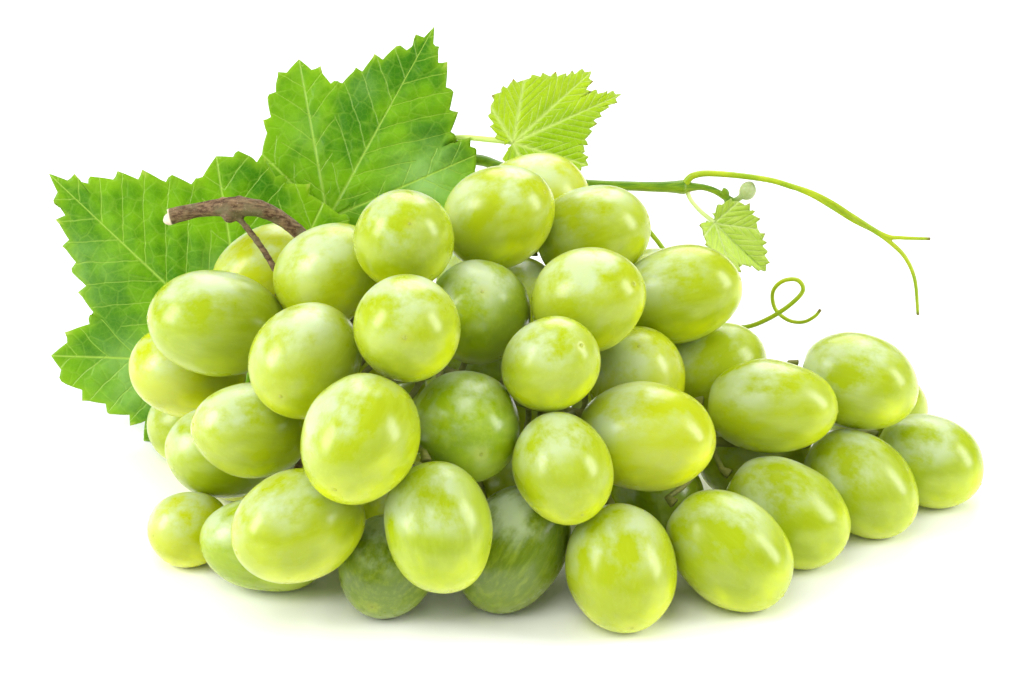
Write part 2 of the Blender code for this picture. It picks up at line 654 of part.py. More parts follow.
def tendril_objects(material):
    thick = [TENDRIL_RADIUS * 1.3] * 4 + [TENDRIL_RADIUS * 1.2] * 3 + [TENDRIL_RADIUS] * 3
    forked = union(
        "tendril_forked",
        [bar(FORKED_TENDRIL, thick, STEM_SIDES), bar(TENDRIL_BRANCH, [TENDRIL_RADIUS * 0.9] * 5, STEM_SIDES)],
        material,
    )
    curled_radii = np.linspace(TENDRIL_RADIUS, TENDRIL_RADIUS * 0.75, len(CURLED_TENDRIL))
    curled = solid_object("tendril_curled", bar(CURLED_TENDRIL, curled_radii, STEM_SIDES, 2.4), material)
    return [forked, curled]


# ---------------------------------------------------------------- the whole object
def centre_on_table(objects):
    """Moves everything so that the origin is the middle of the object's box, at the table."""
    corners = np.array([vertex.co for obj in objects for vertex in obj.data.vertices])
    low, high = corners.min(axis=0), corners.max(axis=0)
    shift = Matrix.Translation((-(low[0] + high[0]) / 2, -(low[1] + high[1]) / 2, 0))
    for obj in objects:
        obj.data.transform(shift)


def main():
    reset_scene()
    skin = finish_material("grape_skin", (0.56, 0.68, 0.12), 0.3)
    wood = finish_material("stem_wood", (0.27, 0.15, 0.09), 0.8)
    green = finish_material("leaf_green", (0.16, 0.45, 0.03), 0.5)
    pale = finish_material("young_green", (0.45, 0.68, 0.10), 0.5)

    stem_route, stem_radii, _ = stem_curve()
    stalk_route = smooth_route(SIDE_STALK, 2.5)[0]
    pile = Pile()
    pile.settle([(stem_route, stem_radii), (stalk_route, np.full(len(stalk_route), PEDICEL_RADIUS))])

    objects = [berry_object(pile, i, skin) for i in range(len(pile.names))]
    objects.append(stem_object(pile, wood))
    for name, spec in LEAVES.items():
        objects.append(leaf_object(name, spec, green if name in ("leaf_left", "leaf_back") else pale))
    objects.append(shoot_object(pale))
    objects += tendril_objects(pale)
    centre_on_table(objects)


main()
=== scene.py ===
import math
import random

import bpy
import numpy as np
from mathutils import Matrix, Vector


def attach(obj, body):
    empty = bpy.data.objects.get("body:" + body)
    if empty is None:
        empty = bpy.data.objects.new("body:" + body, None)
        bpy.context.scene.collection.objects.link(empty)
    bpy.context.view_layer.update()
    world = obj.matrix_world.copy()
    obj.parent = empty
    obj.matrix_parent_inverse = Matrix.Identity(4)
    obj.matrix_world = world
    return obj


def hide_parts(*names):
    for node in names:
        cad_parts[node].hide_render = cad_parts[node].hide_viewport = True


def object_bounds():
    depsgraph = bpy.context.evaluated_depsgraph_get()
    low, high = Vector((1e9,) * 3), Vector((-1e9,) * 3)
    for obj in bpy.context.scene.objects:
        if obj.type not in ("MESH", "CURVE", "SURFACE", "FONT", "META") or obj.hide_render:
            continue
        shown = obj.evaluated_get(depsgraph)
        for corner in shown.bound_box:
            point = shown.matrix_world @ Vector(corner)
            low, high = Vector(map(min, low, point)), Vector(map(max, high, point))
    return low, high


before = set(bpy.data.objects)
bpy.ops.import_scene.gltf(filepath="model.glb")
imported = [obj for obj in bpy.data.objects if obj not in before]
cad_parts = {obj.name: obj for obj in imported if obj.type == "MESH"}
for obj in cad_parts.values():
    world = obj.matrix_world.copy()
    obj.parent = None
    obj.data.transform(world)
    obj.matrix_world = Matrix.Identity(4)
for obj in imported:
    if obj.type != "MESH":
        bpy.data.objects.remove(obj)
cadLow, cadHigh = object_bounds()
mm = 0.001      # Blender works in metres
print("frame loaded:", len(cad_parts), "nodes")


def pickNothing():
    if bpy.context.object and bpy.context.object.mode != "OBJECT":
        bpy.ops.object.mode_set(mode="OBJECT")
    bpy.ops.object.select_all(action="DESELECT")


def pickOnly(piece):
    pickNothing()
    piece.select_set(True)
    bpy.context.view_layer.objects.active = piece


def applyAll(piece):
    pickOnly(piece)
    for modifier in list(piece.modifiers):
        bpy.ops.object.modifier_apply(modifier=modifier.name)


def hold(piece, node, material):
    # the piece stands for its CAD node and moves with the one body
    piece.data.materials.clear()
    piece.data.materials.append(material)
    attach(piece, "root")
    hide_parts(node)


def readPoints(mesh):
    points = np.empty(len(mesh.vertices) * 3, np.float32)
    mesh.vertices.foreach_get("co", points)
    return points.reshape(-1, 3).astype(float)


def readNormals(mesh):
    normals = np.empty(len(mesh.vertices) * 3, np.float32)
    mesh.vertices.foreach_get("normal", normals)
    return normals.reshape(-1, 3)


def writePoints(mesh, points):
    mesh.vertices.foreach_set("co", np.asarray(points, np.float32).ravel())
    mesh.update()


def tablePlace(route):
    # millimetres of the routes below, as a place in the scene
    return np.array(route) * mm + routeShift


def nodePoints(node):
    return np.unique(np.round(readPoints(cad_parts[node].data), 7), axis=0)


def giveAttribute(mesh, name, values):
    values = np.asarray(values, np.float32)
    kind = "FLOAT" if values.ndim == 1 else "FLOAT_VECTOR"
    attribute = mesh.attributes.get(name) or mesh.attributes.new(name, kind, "POINT")
    attribute.data.foreach_set("value" if kind == "FLOAT" else "vector", values.ravel())


noiseWaves = 7


def smoothNoise(points, size, seed):
    # soft bumps about one size across, from a handful of crossed waves
    draw = random.Random(seed)
    total = np.zeros(len(points))
    for wave in range(noiseWaves):
        way = np.array([draw.gauss(0, 1) for axis in range(3)])
        way *= 2 * math.pi / size * draw.uniform(0.6, 1.4) / np.linalg.norm(way)
        total += np.sin(points @ way + draw.uniform(0, 2 * math.pi))
    return total * 2 / noiseWaves


class Recipe:
    # a material and the short calls that wire it
    def __init__(self, name, **looks):
        self.material = bpy.data.materials.new(name)
        self.material.use_nodes = True
        self.tree = self.material.node_tree
        self.shader = self.tree.nodes["Principled BSDF"]
        self.set(self.shader, looks)

    def set(self, node, values):
        for name, value in values.items():
            socket = node.inputs[name]
            if isinstance(value, bpy.types.NodeSocket):
                self.tree.links.new(value, socket)
            elif hasattr(socket.default_value, "__len__") and len(socket.default_value) == 4:
                socket.default_value = (*value, 1)
            else:
                socket.default_value = value

    def add(self, kind, values=None, **settings):
        node = self.tree.nodes.new("ShaderNode" + kind)
        for name, value in settings.items():
            setattr(node, name, value)
        if values:
            self.set(node, values)
        return node

    def read(self, name, output="Fac"):
        return self.add("Attribute", attribute_name=name).outputs[output]

    def place(self):
        return self.add("TexCoord").outputs["Object"]

    def noise(self, where, scale, detail=3.0, roughness=0.5):
        values = {"Vector": where, "Scale": scale, "Detail": detail, "Roughness": roughness}
        return self.add("TexNoise", values).outputs["Fac"]

    def sum(self, how, first, second=0.0, third=None, clamp=False):
        node = self.add("Math", operation=how, use_clamp=clamp)
        for socket, value in zip(node.inputs, (first, second, third)):
            if isinstance(value, bpy.types.NodeSocket):
                self.tree.links.new(value, socket)
            elif value is not None:
                socket.default_value = value
        return node.outputs[0]

    def times(self, first, second):
        return self.sum("MULTIPLY", first, second)

    def fade(self, value, low, high, outLow=0.0, outHigh=1.0):
        # 0 to 1 as value goes from low to high, with soft ends
        values = {"Value": value, "From Min": low, "From Max": high, "To Min": outLow, "To Max": outHigh}
        return self.add("MapRange", values, interpolation_type="SMOOTHSTEP").outputs["Result"]

    def blend(self, share, first, second, how="MIX"):
        node = self.add("Mix", data_type="RGBA", blend_type=how)
        sockets = (node.inputs[0], node.inputs[6], node.inputs[7])
        for socket, value in zip(sockets, (share, first, second)):
            if isinstance(value, bpy.types.NodeSocket):
                self.tree.links.new(value, socket)
            elif isinstance(value, (int, float)):
                socket.default_value = value
            else:
                socket.default_value = (*value, 1)
        return node.outputs[2]

    def bump(self, height, strength, distance, under=None):
        values = {"Height": height, "Strength": strength, "Distance": distance}
        if under:
            values["Normal"] = under
        return self.add("Bump", values).outputs["Normal"]


studio = {
    "lookAt": (0.95 * mm, -16.2 * mm, 47.3 * mm),
    "elevation": 25,
    "distance": 0.75,
    "lens": 117.2,
    "sensor": 36,
    "nearest": 0.01,
    "floorSize": 8,
    "floorColour": (0.93, 0.93, 0.93),
    "floorRoughness": 0.8,
    "floorShine": 0.2,
    "worldStrength": 0.62,
    "worldInGloss": 0.12,      # the white room hardly shows in the grapes' shine, only the windows do
    "lampsFace": (0, 0, 0.04),
    # name: place, width, height, watts, seen in the shine
    "lights": {
        "windowLeft": ((-0.84, -0.26, 0.50), 0.38, 0.62, 7.0, True),
        "windowRight": ((0.86, -0.16, 0.44), 0.32, 0.60, 5.6, True),
        "ceiling": ((-0.22, -0.50, 0.80), 0.60, 0.60, 4.0, False),
        "skyBehind": ((0.05, 0.60, 0.62), 0.60, 0.60, 4.2, True),
    },
}


def setStudio():
    rise = math.radians(studio["elevation"])
    target = Vector(studio["lookAt"])
    back = Vector((0, -math.cos(rise), math.sin(rise)))
    bpy.ops.object.camera_add(location=target + back * studio["distance"])
    camera = bpy.context.object
    camera.rotation_euler = (-back).to_track_quat("-Z", "Y").to_euler()
    camera.data.lens = studio["lens"]
    camera.data.sensor_width = studio["sensor"]
    camera.data.clip_start = studio["nearest"]
    bpy.context.scene.camera = camera

    bpy.ops.mesh.primitive_plane_add(size=studio["floorSize"])
    floor = bpy.context.object
    floor.name = "floor"
    paper = Recipe("floorPaper", Roughness=studio["floorRoughness"])
    paper.set(paper.shader, {"Base Color": studio["floorColour"],
                             "Specular IOR Level": studio["floorShine"]})
    floor.data.materials.append(paper.material)

    world = bpy.data.worlds.new("studioWorld")
    bpy.context.scene.world = world
    world.use_nodes = True
    room = world.node_tree
    room.nodes["Background"].inputs["Color"].default_value = (1, 1, 1, 1)
    ray = room.nodes.new("ShaderNodeLightPath")
    strength = room.nodes.new("ShaderNodeMapRange")
    strength.inputs["To Min"].default_value = studio["worldStrength"]
    strength.inputs["To Max"].default_value = studio["worldInGloss"]
    room.links.new(ray.outputs["Is Glossy Ray"], strength.inputs["Value"])
    room.links.new(strength.outputs["Result"], room.nodes["Background"].inputs["Strength"])
    for name, (place, width, height, watts, inGloss) in studio["lights"].items():
        bpy.ops.object.light_add(type="AREA", location=place)
        lamp = bpy.context.object
        lamp.name = name
        lamp.data.energy = watts
        lamp.data.shape = "RECTANGLE"
        lamp.data.size = width
        lamp.data.size_y = height
        lamp.visible_glossy = inGloss
        towards = Vector(studio["lampsFace"]) - Vector(place)
        lamp.rotation_euler = towards.to_track_quat("-Z", "Y").to_euler()
    bpy.context.scene.view_settings.view_transform = "Standard"
    bpy.context.scene.view_settings.look = "None"
    print("studio set")


setStudio()


grapes = {
    "sides": 44,
    "rings": 30,
    "plump": 0.18 * mm,        # how much each grape swells into the gap that the CAD leaves
    "lumps": 0.22 * mm,        # how far a grape strays from a true oval
    "lumpSize": 16 * mm,
    "fuller": (-0.04, 0.05),   # plumper towards the shoulders, or towards the tip
    "endCap": 0.992,           # the scar and the collar lie past this share of the half length
    "tipRings": ((0.052, 0), (0.014, -0.010), (0.010, 0.016)),     # inset and depth of each ring
    "stemRings": ((0.03, -0.008), (0.02, -0.03)),
    "dimple": 0.08,            # depth of the dent round the pedicel, as a share of the half length
    "dimpleWidth": 0.26,
    "windowWay": (-0.30, -0.16, 0.94),     # the way to the window light: each grape is painted lighter, with a painted highlight in its bloom, on this side
    "turnToPaintedShade": 0.62,        # how fast the painted shade and the painted glow of light through the flesh grow away from that side
    "firstSeed": 100,
    "patternStep": 7.3,        # keeps each grape's streaks and bloom its own
    # how ripe the grapes named below are, and the rest
    "ripeness": {"green": (0.0, 0.2), "yellow": (0.8, 1.0), "rest": (0.4, 0.65)},
    "shade": 0.65,             # how much painted shade darkens the shaded ones
    "green": ("berry_11", "berry_16", "berry_20", "berry_36", "berry_39", "berry_41", "berry_34"),
    "shaded": ("berry_20", "berry_36"),
    "yellow": ("berry_06", "berry_08", "berry_35", "berry_01", "berry_30", "berry_18"),
}


def masterGrape():
    # a ball with a dent and a collar at the stem end (-Z) and a small raised scar at the tip (+Z)
    pickNothing()
    bpy.ops.mesh.primitive_uv_sphere_add(segments=grapes["sides"], ring_count=grapes["rings"], radius=1)
    ball = bpy.context.object
    ball.name = "grapeMaster"
    bpy.ops.object.mode_set(mode="EDIT")
    bpy.ops.mesh.select_mode(type="FACE")
    for end in (1, -1):
        bpy.ops.mesh.select_all(action="DESELECT")
        bpy.ops.object.mode_set(mode="OBJECT")
        for face in ball.data.polygons:
            face.select = face.center.z * end > grapes["endCap"]
        bpy.ops.object.mode_set(mode="EDIT")
        for thickness, depth in grapes["tipRings"] if end > 0 else grapes["stemRings"]:
            bpy.ops.mesh.inset(thickness=thickness, depth=depth)
    bpy.ops.object.mode_set(mode="OBJECT")
    points = readPoints(ball.data)
    # the stem end sinks a little round the pedicel, and the shoulders stay full
    ring = np.hypot(points[:, 0], points[:, 1])
    low = points[:, 2] < 0
    sink = grapes["dimple"] * np.exp(-((ring / grapes["dimpleWidth"]) ** 2))
    points[low, 2] += sink[low]
    writePoints(ball.data, points)
    smooth = ball.modifiers.new("smooth", "SUBSURF")
    smooth.levels = smooth.render_levels = 1
    applyAll(ball)
    bpy.ops.object.shade_smooth()
    return ball


def ovalOf(node):
    # middle, axis and half sizes of the oval that a grape's CAD corners lie on
    points = nodePoints(node)
    points = points[points[:, 2] > 0.02 * mm]
    middle = points.mean(axis=0)
    x, y, z = ((points - middle) / 0.01).T
    terms = np.stack([x * x, y * y, z * z, 2 * x * y, 2 * x * z, 2 * y * z, 2 * x, 2 * y, 2 * z], axis=1)
    a, b, c, d, e, f, g, h, i = np.linalg.lstsq(terms, np.ones(len(points)), rcond=None)[0]
    square = np.array([[a, d, e], [d, b, f], [e, f, c]])
    centre = -np.linalg.solve(square, [g, h, i])
    square /= 1 + centre @ square @ centre
    strengths, ways = np.linalg.eigh(square)
    halves = 0.01 / np.sqrt(strengths)
    return middle + centre * 0.01, ways[:, 0], halves[0], (halves[1] + halves[2]) / 2


def makeGrapes(material):
    master = masterGrape()
    unitPoints = readPoints(master.data)
    stemPoints = nodePoints("stem")
    names = sorted(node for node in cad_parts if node.startswith("berry"))
    for number, node in enumerate(names):
        draw = random.Random(grapes["firstSeed"] + number)
        centre, axis, halfLength, halfWidth = ovalOf(node)
        # the collar goes to the end that is nearer the stem
        gaps = [np.linalg.norm(stemPoints - (centre - way * halfLength), axis=1).min()
                for way in (axis, -axis)]
        if gaps[1] < gaps[0]:
            axis = -axis
        side = np.cross(axis, (0.3, 0.2, 1.0))
        side /= np.linalg.norm(side)
        turned = np.stack([side, np.cross(axis, side), axis], axis=1)
        spin = draw.uniform(0, 2 * math.pi)
        spun = unitPoints @ np.array(Matrix.Rotation(spin, 3, "Z"))
        fuller = draw.uniform(*grapes["fuller"])
        sizes = np.array([halfWidth, halfWidth, halfLength]) + grapes["plump"]
        local = spun * sizes
        local[:, :2] *= (1 + fuller * spun[:, 2] * (1 - spun[:, 2] ** 2))[:, None]
        place = local @ turned.T + centre
        lumps = smoothNoise(place, grapes["lumpSize"], number)
        place += (spun @ turned.T) * (lumps * grapes["lumps"])[:, None]
        place[:, 2] = np.maximum(place[:, 2], 0)      # flat where it lies on the table
        mesh = master.data.copy()
        mesh.name = "grape%02d" % (number + 1)
        writePoints(mesh, place)
        kind = "green" if node in grapes["green"] else "yellow" if node in grapes["yellow"] else "rest"
        ripe = draw.uniform(*grapes["ripeness"][kind])
        giveAttribute(mesh, "ripe", np.full(len(place), ripe))
        # painted shade on the grapes that sit in shade
        giveAttribute(mesh, "paintedShade", np.full(len(place), grapes["shade"] * (node in grapes["shaded"])))
        giveAttribute(mesh, "skin", spun + np.array([grapes["patternStep"] * number, 0, 0]))
        giveAttribute(mesh, "along", spun[:, 2])
        giveAttribute(mesh, "ringOut", np.hypot(spun[:, 0], spun[:, 1]))
        # painted shade and light: the flesh is painted deepest, with a painted glow, low on the grape
        # where the light leaves it, and lighter where it faces the window light
        outward = (place - centre) / np.linalg.norm(place - centre, axis=1)[:, None]
        deep = 0.5 - grapes["turnToPaintedShade"] * (outward @ grapes["windowWay"]) + 0.1 * lumps
        giveAttribute(mesh, "deep", np.clip(deep, 0, 1))
        grape = bpy.data.objects.new(mesh.name, mesh)
        bpy.context.scene.collection.objects.link(grape)
        hold(grape, node, material)
    bpy.data.objects.remove(master)
    print("grapes:", len(names))


grapeFinish = {
    # unripe and ripe colours: painted lit at the top, the flesh's own colour round the middle, and a
    # painted glow of light through the flesh where light leaves the grape
    "pale": ((0.27, 0.39, 0.004), (0.45, 0.52, 0.005)),
    "full": ((0.22, 0.34, 0.001), (0.43, 0.49, 0.001)),
    "glow": ((0.42, 0.58, 0.001), (0.82, 0.88, 0.001)),
    # painted shade colour for the shaded grapes
    "paintedShade": (0.06, 0.11, 0.001),
    "streak": (0.46, 0.57, 0.04), "streakAmount": 0.28,
    # the bloom colour is the grape's real bloom and also a painted highlight, thickest towards the
    # window light
    "bloom": (0.52, 0.61, 0.38), "bloomSize": 1.3, "bloomOnLitSide": 0.80, "bloomEverywhere": 0.08,
    "halo": (0.45, 0.48, 0.03), "haloAmount": 0.3,
    "scar": (0.16, 0.15, 0.03), "scarAmount": 0.3,
    "collar": (0.30, 0.27, 0.07), "collarAmount": 0.7,
    "dots": (0.45, 0.42, 0.10), "dotAmount": 0.12,
    "roughness": 0.26, "bloomRoughness": 0.45,
}


def grapeSkin():
    finish = grapeFinish
    skin = Recipe("grapeSkin", Roughness=0.3, IOR=1.42)
    skin.set(skin.shader, {
        "Subsurface Weight": 0.85,
        "Subsurface Radius": (1.0, 0.92, 0.10),
        "Subsurface Scale": 0.009,
        "Specular IOR Level": 0.15,
        "Sheen Weight": 0.05,
        "Sheen Roughness": 0.3,
        "Sheen Tint": (0.85, 0.97, 0.30),
        "Coat Weight": 0.85,
        "Coat Roughness": 0.27,
    })
    where = skin.read("skin", "Vector")
    ripe = skin.read("ripe")
    deep = skin.read("deep")
    # painted light and shade: the flesh goes from a lit colour on the window side, through its own
    # colour, to a painted glow away from the light
    pale = skin.blend(ripe, *finish["pale"])
    full = skin.blend(ripe, *finish["full"])
    glow = skin.blend(ripe, *finish["glow"])
    mottle = skin.noise(where, 1.6, 3)
    amount = skin.sum("ADD", deep, skin.sum("MULTIPLY_ADD", mottle, 0.8, -0.4), clamp=True)
    flesh = skin.blend(skin.fade(amount, 0.0, 0.42), pale, full)
    flesh = skin.blend(skin.fade(amount, 0.38, 1.0), flesh, glow)
    # painted shade darkens the shaded grapes
    flesh = skin.blend(skin.read("paintedShade"), flesh, finish["paintedShade"])
    # faint streaks that run from the stem to the tip
    stretched = skin.add("Mapping", {"Vector": where, "Scale": (1.0, 1.0, 0.18)}).outputs[0]
    streaks = skin.fade(skin.noise(stretched, 9, 4, 0.6), 0.42, 0.72)
    flesh = skin.blend(skin.times(streaks, finish["streakAmount"]), flesh, finish["streak"])
    # the bloom, rubbed thin in places, and laid on thickest on the side facing the window light as a
    # painted highlight
    bloom = skin.fade(skin.noise(where, finish["bloomSize"], 5, 0.6), 0.38, 0.62)
    high = skin.fade(deep, 0.30, -0.05)
    bloomTowardLight = skin.sum("MULTIPLY_ADD", high, finish["bloomOnLitSide"], finish["bloomEverywhere"])
    bloomAndHighlight = skin.times(bloom, bloomTowardLight)
    flesh = skin.blend(bloomAndHighlight, flesh, finish["bloom"])
    # the small dark scar at the tip and the brown ring at the pedicel
    ringOut = skin.read("ringOut")
    tip = skin.fade(skin.read("along"), 0.9, 0.92)
    foot = skin.fade(skin.read("along"), -0.9, -0.92)
    scar = skin.times(tip, skin.fade(ringOut, 0.05, 0.02))
    collar = skin.times(foot, skin.fade(ringOut, 0.17, 0.11))
    halo = skin.times(tip, skin.fade(ringOut, 0.22, 0.05))
    flesh = skin.blend(skin.times(halo, finish["haloAmount"]), flesh, finish["halo"])
    flesh = skin.blend(skin.times(scar, finish["scarAmount"]), flesh, finish["scar"])
    flesh = skin.blend(skin.times(collar, finish["collarAmount"]), flesh, finish["collar"])
    dots = skin.fade(skin.noise(where, 22, 2), 0.66, 0.74)
    flesh = skin.blend(skin.times(dots, finish["dotAmount"]), flesh, finish["dots"])
    shine = skin.sum("MULTIPLY_ADD", bloomAndHighlight, finish["bloomRoughness"], finish["roughness"])
    fine = skin.noise(where, 14, 4)
    skin.set(skin.shader, {
        "Base Color": flesh,
        "Roughness": shine,
        "Normal": skin.bump(fine, 0.12, 0.3 * mm),
    })
    return skin.material


makeGrapes(grapeSkin())


# routes below are in millimetres, and this is the middle of the bunch's footprint in them
routeMiddle = (-2.753, 66.166, 0)
routeShift = np.array(((cadLow[0] + cadHigh[0]) / 2, (cadLow[1] + cadHigh[1]) / 2, cadLow[2]))
routeShift -= np.array(routeMiddle) * mm

# sizes are in millimetres too; angles go round from the middle lobe's tip, and reaches are shares of
# the leaf's size; "mains" are the main veins, "borders" the dips between lobes, and the spots list gives
# patches of painted sheen, standing in for the window's reflection, as angle, reach, width and amount
leaves = {
    "leaf_left": {
        "slot": "leaf_green", "finish": "leafFresh",
        "base": (-65.5, 99.2, 19), "tip": (-113.5, 113.5, 62), "faces": (0, -0.95, 0.32),
        "size": 66,
        "cup": -0.06, "curl": -0.05, "wave": 0.02, "phase": 0.6,
        "outline": (
            (-172, 0.13), (-150, 0.21), (-120, 0.27), (-100, 0.32), (-90, 0.41), (-82, 0.50),
            (-73, 0.44), (-63, 0.52), (-50, 0.66), (-42, 0.73), (-36, 0.65), (-28, 0.58), (-18, 0.66),
            (-10, 0.78), (-3, 0.88), (0, 1), (3, 0.89), (10, 0.83), (21, 0.73), (31, 0.67), (38, 0.76),
            (48, 0.74), (57, 0.67), (68, 0.65), (80, 0.63), (95, 0.50), (120, 0.40), (150, 0.30),
            (172, 0.15),
        ),
        "mains": (-120, -82, -42, 0, 38, 72, 120), "borders": (-100, -70, -28, 31, 57, 95),
        "sheenSpots": ((-16, 0.72, 0.13, 0.7), (-50, 0.42, 0.13, 0.9), (30, 0.34, 0.08, 0.5),
                 (-78, 0.30, 0.10, 0.6)),
        "toothGap": 6.4, "tooth": 2.1, "veinGap": 0.108, "slant": 1.05, "quilt": 0.42, "sheet": 0.42,
        "stalk": ((-65.5, 99.7, 19), (-65, 104, 23), (-62, 115, 34), (-58.5, 124, 43.5),
                  (-57.6, 129.4, 44.4)),
        "stalkRadius": 1.1,
    },
    "leaf_back": {
        "slot": "leaf_green", "finish": "leafFresh",
        "base": (-46.5, 117.8, 48.6), "tip": (-21, 139.6, 90.5), "faces": (0, -0.89, 0.46),
        "size": 54,
        "cup": -0.05, "curl": -0.06, "wave": 0.02, "phase": -0.4,
        "outline": (
            (-172, 0.10), (-150, 0.28), (-120, 0.36), (-95, 0.39), (-74, 0.42), (-60, 0.50),
            (-49, 0.65), (-39, 0.74), (-32, 0.64), (-25, 0.60), (-17, 0.67), (-8, 0.79), (-2, 0.87),
            (0, 1), (3, 0.90), (9, 0.84), (17, 0.76), (29, 0.65), (36, 0.74), (43, 0.70), (56, 0.55),
            (75, 0.48), (100, 0.45), (130, 0.37), (155, 0.24), (172, 0.10),
        ),
        "mains": (-120, -74, -39, 0, 38, 78, 125), "borders": (-97, -60, -25, 28, 60, 100),
        "sheenSpots": ((38, 0.50, 0.14, 1.0), (62, 0.34, 0.13, 1.0), (-14, 0.62, 0.06, 0.4),
                 (-44, 0.42, 0.07, 0.3)),
        "toothGap": 5.6, "tooth": 1.9, "veinGap": 0.12, "slant": 1.05, "quilt": 0.40, "sheet": 0.42,
        "stalk": ((-46.5, 118.2, 48.6), (-46.8, 122, 49.5), (-47, 126, 50.6), (-46.4, 130, 50.8)),
        "stalkRadius": 1.1,
    },
    "leaf_young": {
        "slot": "leaf_young", "finish": "leafYoung",
        "base": (-1.5, 121.6, 67), "tip": (24.7, 129.8, 76.4), "faces": (0.14, -0.9, 0.41),
        "size": 29,
        "cup": 0.10, "curl": 0.06, "wave": 0.02, "phase": 0,
        "outline": (
            (-150, 0.05), (-135, 0.12), (-110, 0.24), (-98, 0.36), (-74, 0.45), (-56, 0.53),
            (-38, 0.62), (-27, 0.70), (-18, 0.89), (-14, 0.78), (-10, 0.74), (-3, 0.87), (0, 1),
            (2, 0.85), (7, 0.72), (13, 0.65), (22, 0.60), (32, 0.57), (41, 0.66), (46, 0.56),
            (55, 0.45), (75, 0.35), (104, 0.26), (135, 0.20), (150, 0.05),
        ),
        "mains": (-98, -56, -18, 0, 41, 90), "borders": (-76, -34, -10, 24, 62),
        "toothGap": 2.5, "tooth": 1.05, "veinGap": 0.085, "slant": 1.5, "quilt": 0.30, "sheet": 0.34,
        "stalk": ((-1.5, 122, 67), (-7, 125.5, 66.2), (-14, 130, 65), (-21, 132, 63.5),
                  (-26, 131.5, 61.8), (-28.5, 131.3, 57.8)),
        "stalkRadius": 0.75,
    },
    "leaf_tip": {
        "slot": "leaf_young", "finish": "leafTip",
        "base": (47.5, 118, 47.5), "tip": (59.5, 115, 35.5), "faces": (0.5, -0.85, 0.1),
        "size": 17,
        "cup": 0.35, "curl": 0.15, "wave": 0.03, "phase": 1, "fold": 0.55,
        "outline": (
            (-140, 0.10), (-120, 0.25), (-90, 0.40), (-60, 0.47), (-35, 0.58), (-15, 0.75), (0, 1),
            (8, 0.75), (20, 0.66), (32, 0.82), (40, 0.66), (60, 0.42), (90, 0.30), (120, 0.22),
            (140, 0.10),
        ),
        "mains": (-90, -35, 0, 32, 90), "borders": (-60, -20, 18, 60),
        "toothGap": 2.2, "tooth": 0.85, "veinGap": 0.11, "slant": 1.3, "quilt": 0.30, "sheet": 0.34,
        "stalk": ((47.5, 118.2, 47.5), (44.3, 119.8, 49.6), (41.8, 121, 52.2), (40.8, 121.9, 54.4)),
        "stalkRadius": 0.6,
    },
}
leafMaking = {
    "samplesPerTooth": 7,
    "sharpSide": 0.28,      # share of a tooth that is its short side, towards the lobe's tip
    "toothWander": 0.13,    # how far a tooth strays from its even place
    "toothLean": 0.35,
    "toothStart": 0.84,     # teeth grow out over the last part of the blade
    "toothLift": 0.35,
    "rimSteps": 3000,
    "ringsPerSize": 1.0,
    "fewestRings": 24,
    "creaseWidth": 0.05,    # half width of the crease along a main vein
    "creaseDepth": 0.7,
    "calmBorder": 0.08,     # the pillows flatten out this near to the next lobe, and this near the rim
    "calmRim": 0.10,
    "leastPillow": 0.15,
    "lumps": 0.25,
    "lumpSize": 0.16,
    "bend": 0.55,           # how side veins curve towards the tip
    "stagger": 0.22,        # side veins on one side start further out than on the other
    "stalkWaist": 0.85,
}


def smoothRoute(points, step=0.8):
    # points about one step apart on a smooth line through the given ones, and where each one lies
    points = np.asarray(points, float)
    ends = np.vstack([2 * points[0] - points[1], points, 2 * points[-1] - points[-2]])
    route, where = [], []
    for i in range(len(points) - 1):
        a, b, c, d = ends[i:i + 4]
        count = max(2, round(np.linalg.norm(c - b) / step))
        for t in np.arange(count) / count:
            route.append(0.5 * (2 * b + (c - a) * t + (2 * a - 5 * b + 4 * c - d) * t**2
                                + (3 * b - a - 3 * c + d) * t**3))
            where.append(i + t)
    return np.array(route + [points[-1]]), np.array(where + [len(points) - 1])


def cane(name, points, radii, sides=14, step=0.8):
    # a round stalk along a route, thicker and thinner as the radii say, as one closed mesh
    route, where = smoothRoute(points, step)
    widths = np.interp(where, np.linspace(0, len(points) - 1, len(radii)), radii)
    curve = bpy.data.curves.new(name, "CURVE")
    curve.dimensions = "3D"
    curve.bevel_depth = mm
    curve.bevel_resolution = sides // 2 - 1
    curve.use_fill_caps = True
    line = curve.splines.new("POLY")
    line.points.add(len(route) - 1)
    for point, place, width in zip(line.points, route, widths):
        point.co = (*tablePlace(place), 1)
        point.radius = width
    stalk = bpy.data.objects.new(name, curve)
    bpy.context.scene.collection.objects.link(stalk)
    pickOnly(stalk)
    bpy.ops.object.convert(target="MESH")
    stalk = bpy.context.object
    bpy.ops.object.mode_set(mode="EDIT")
    bpy.ops.mesh.select_all(action="SELECT")
    bpy.ops.mesh.remove_doubles(threshold=0.01 * mm)
    bpy.ops.mesh.normals_make_consistent(inside=False)
    bpy.ops.object.mode_set(mode="OBJECT")
    bpy.ops.object.shade_smooth()
    return stalk


def join(pieces, name):
    pickOnly(pieces[0])
    for piece in pieces[1:]:
        piece.select_set(True)
    bpy.ops.object.join()
    whole = bpy.context.object
    whole.name = whole.data.name = name
    return whole


def oval(centre, sizes, lean=0.0):
    # a pointed bud or scale: a small ball drawn out at its top
    pickNothing()
    bpy.ops.mesh.primitive_uv_sphere_add(segments=20, ring_count=14, radius=1)
    ball = bpy.context.object
    points = readPoints(ball.data)
    points[:, :2] *= (1 - 0.22 * np.clip(points[:, 2], 0, 1) ** 2)[:, None]
    points *= sizes
    points = points @ np.array(Matrix.Rotation(lean, 3, "Y")).T
    writePoints(ball.data, tablePlace(points + centre))
    return ball


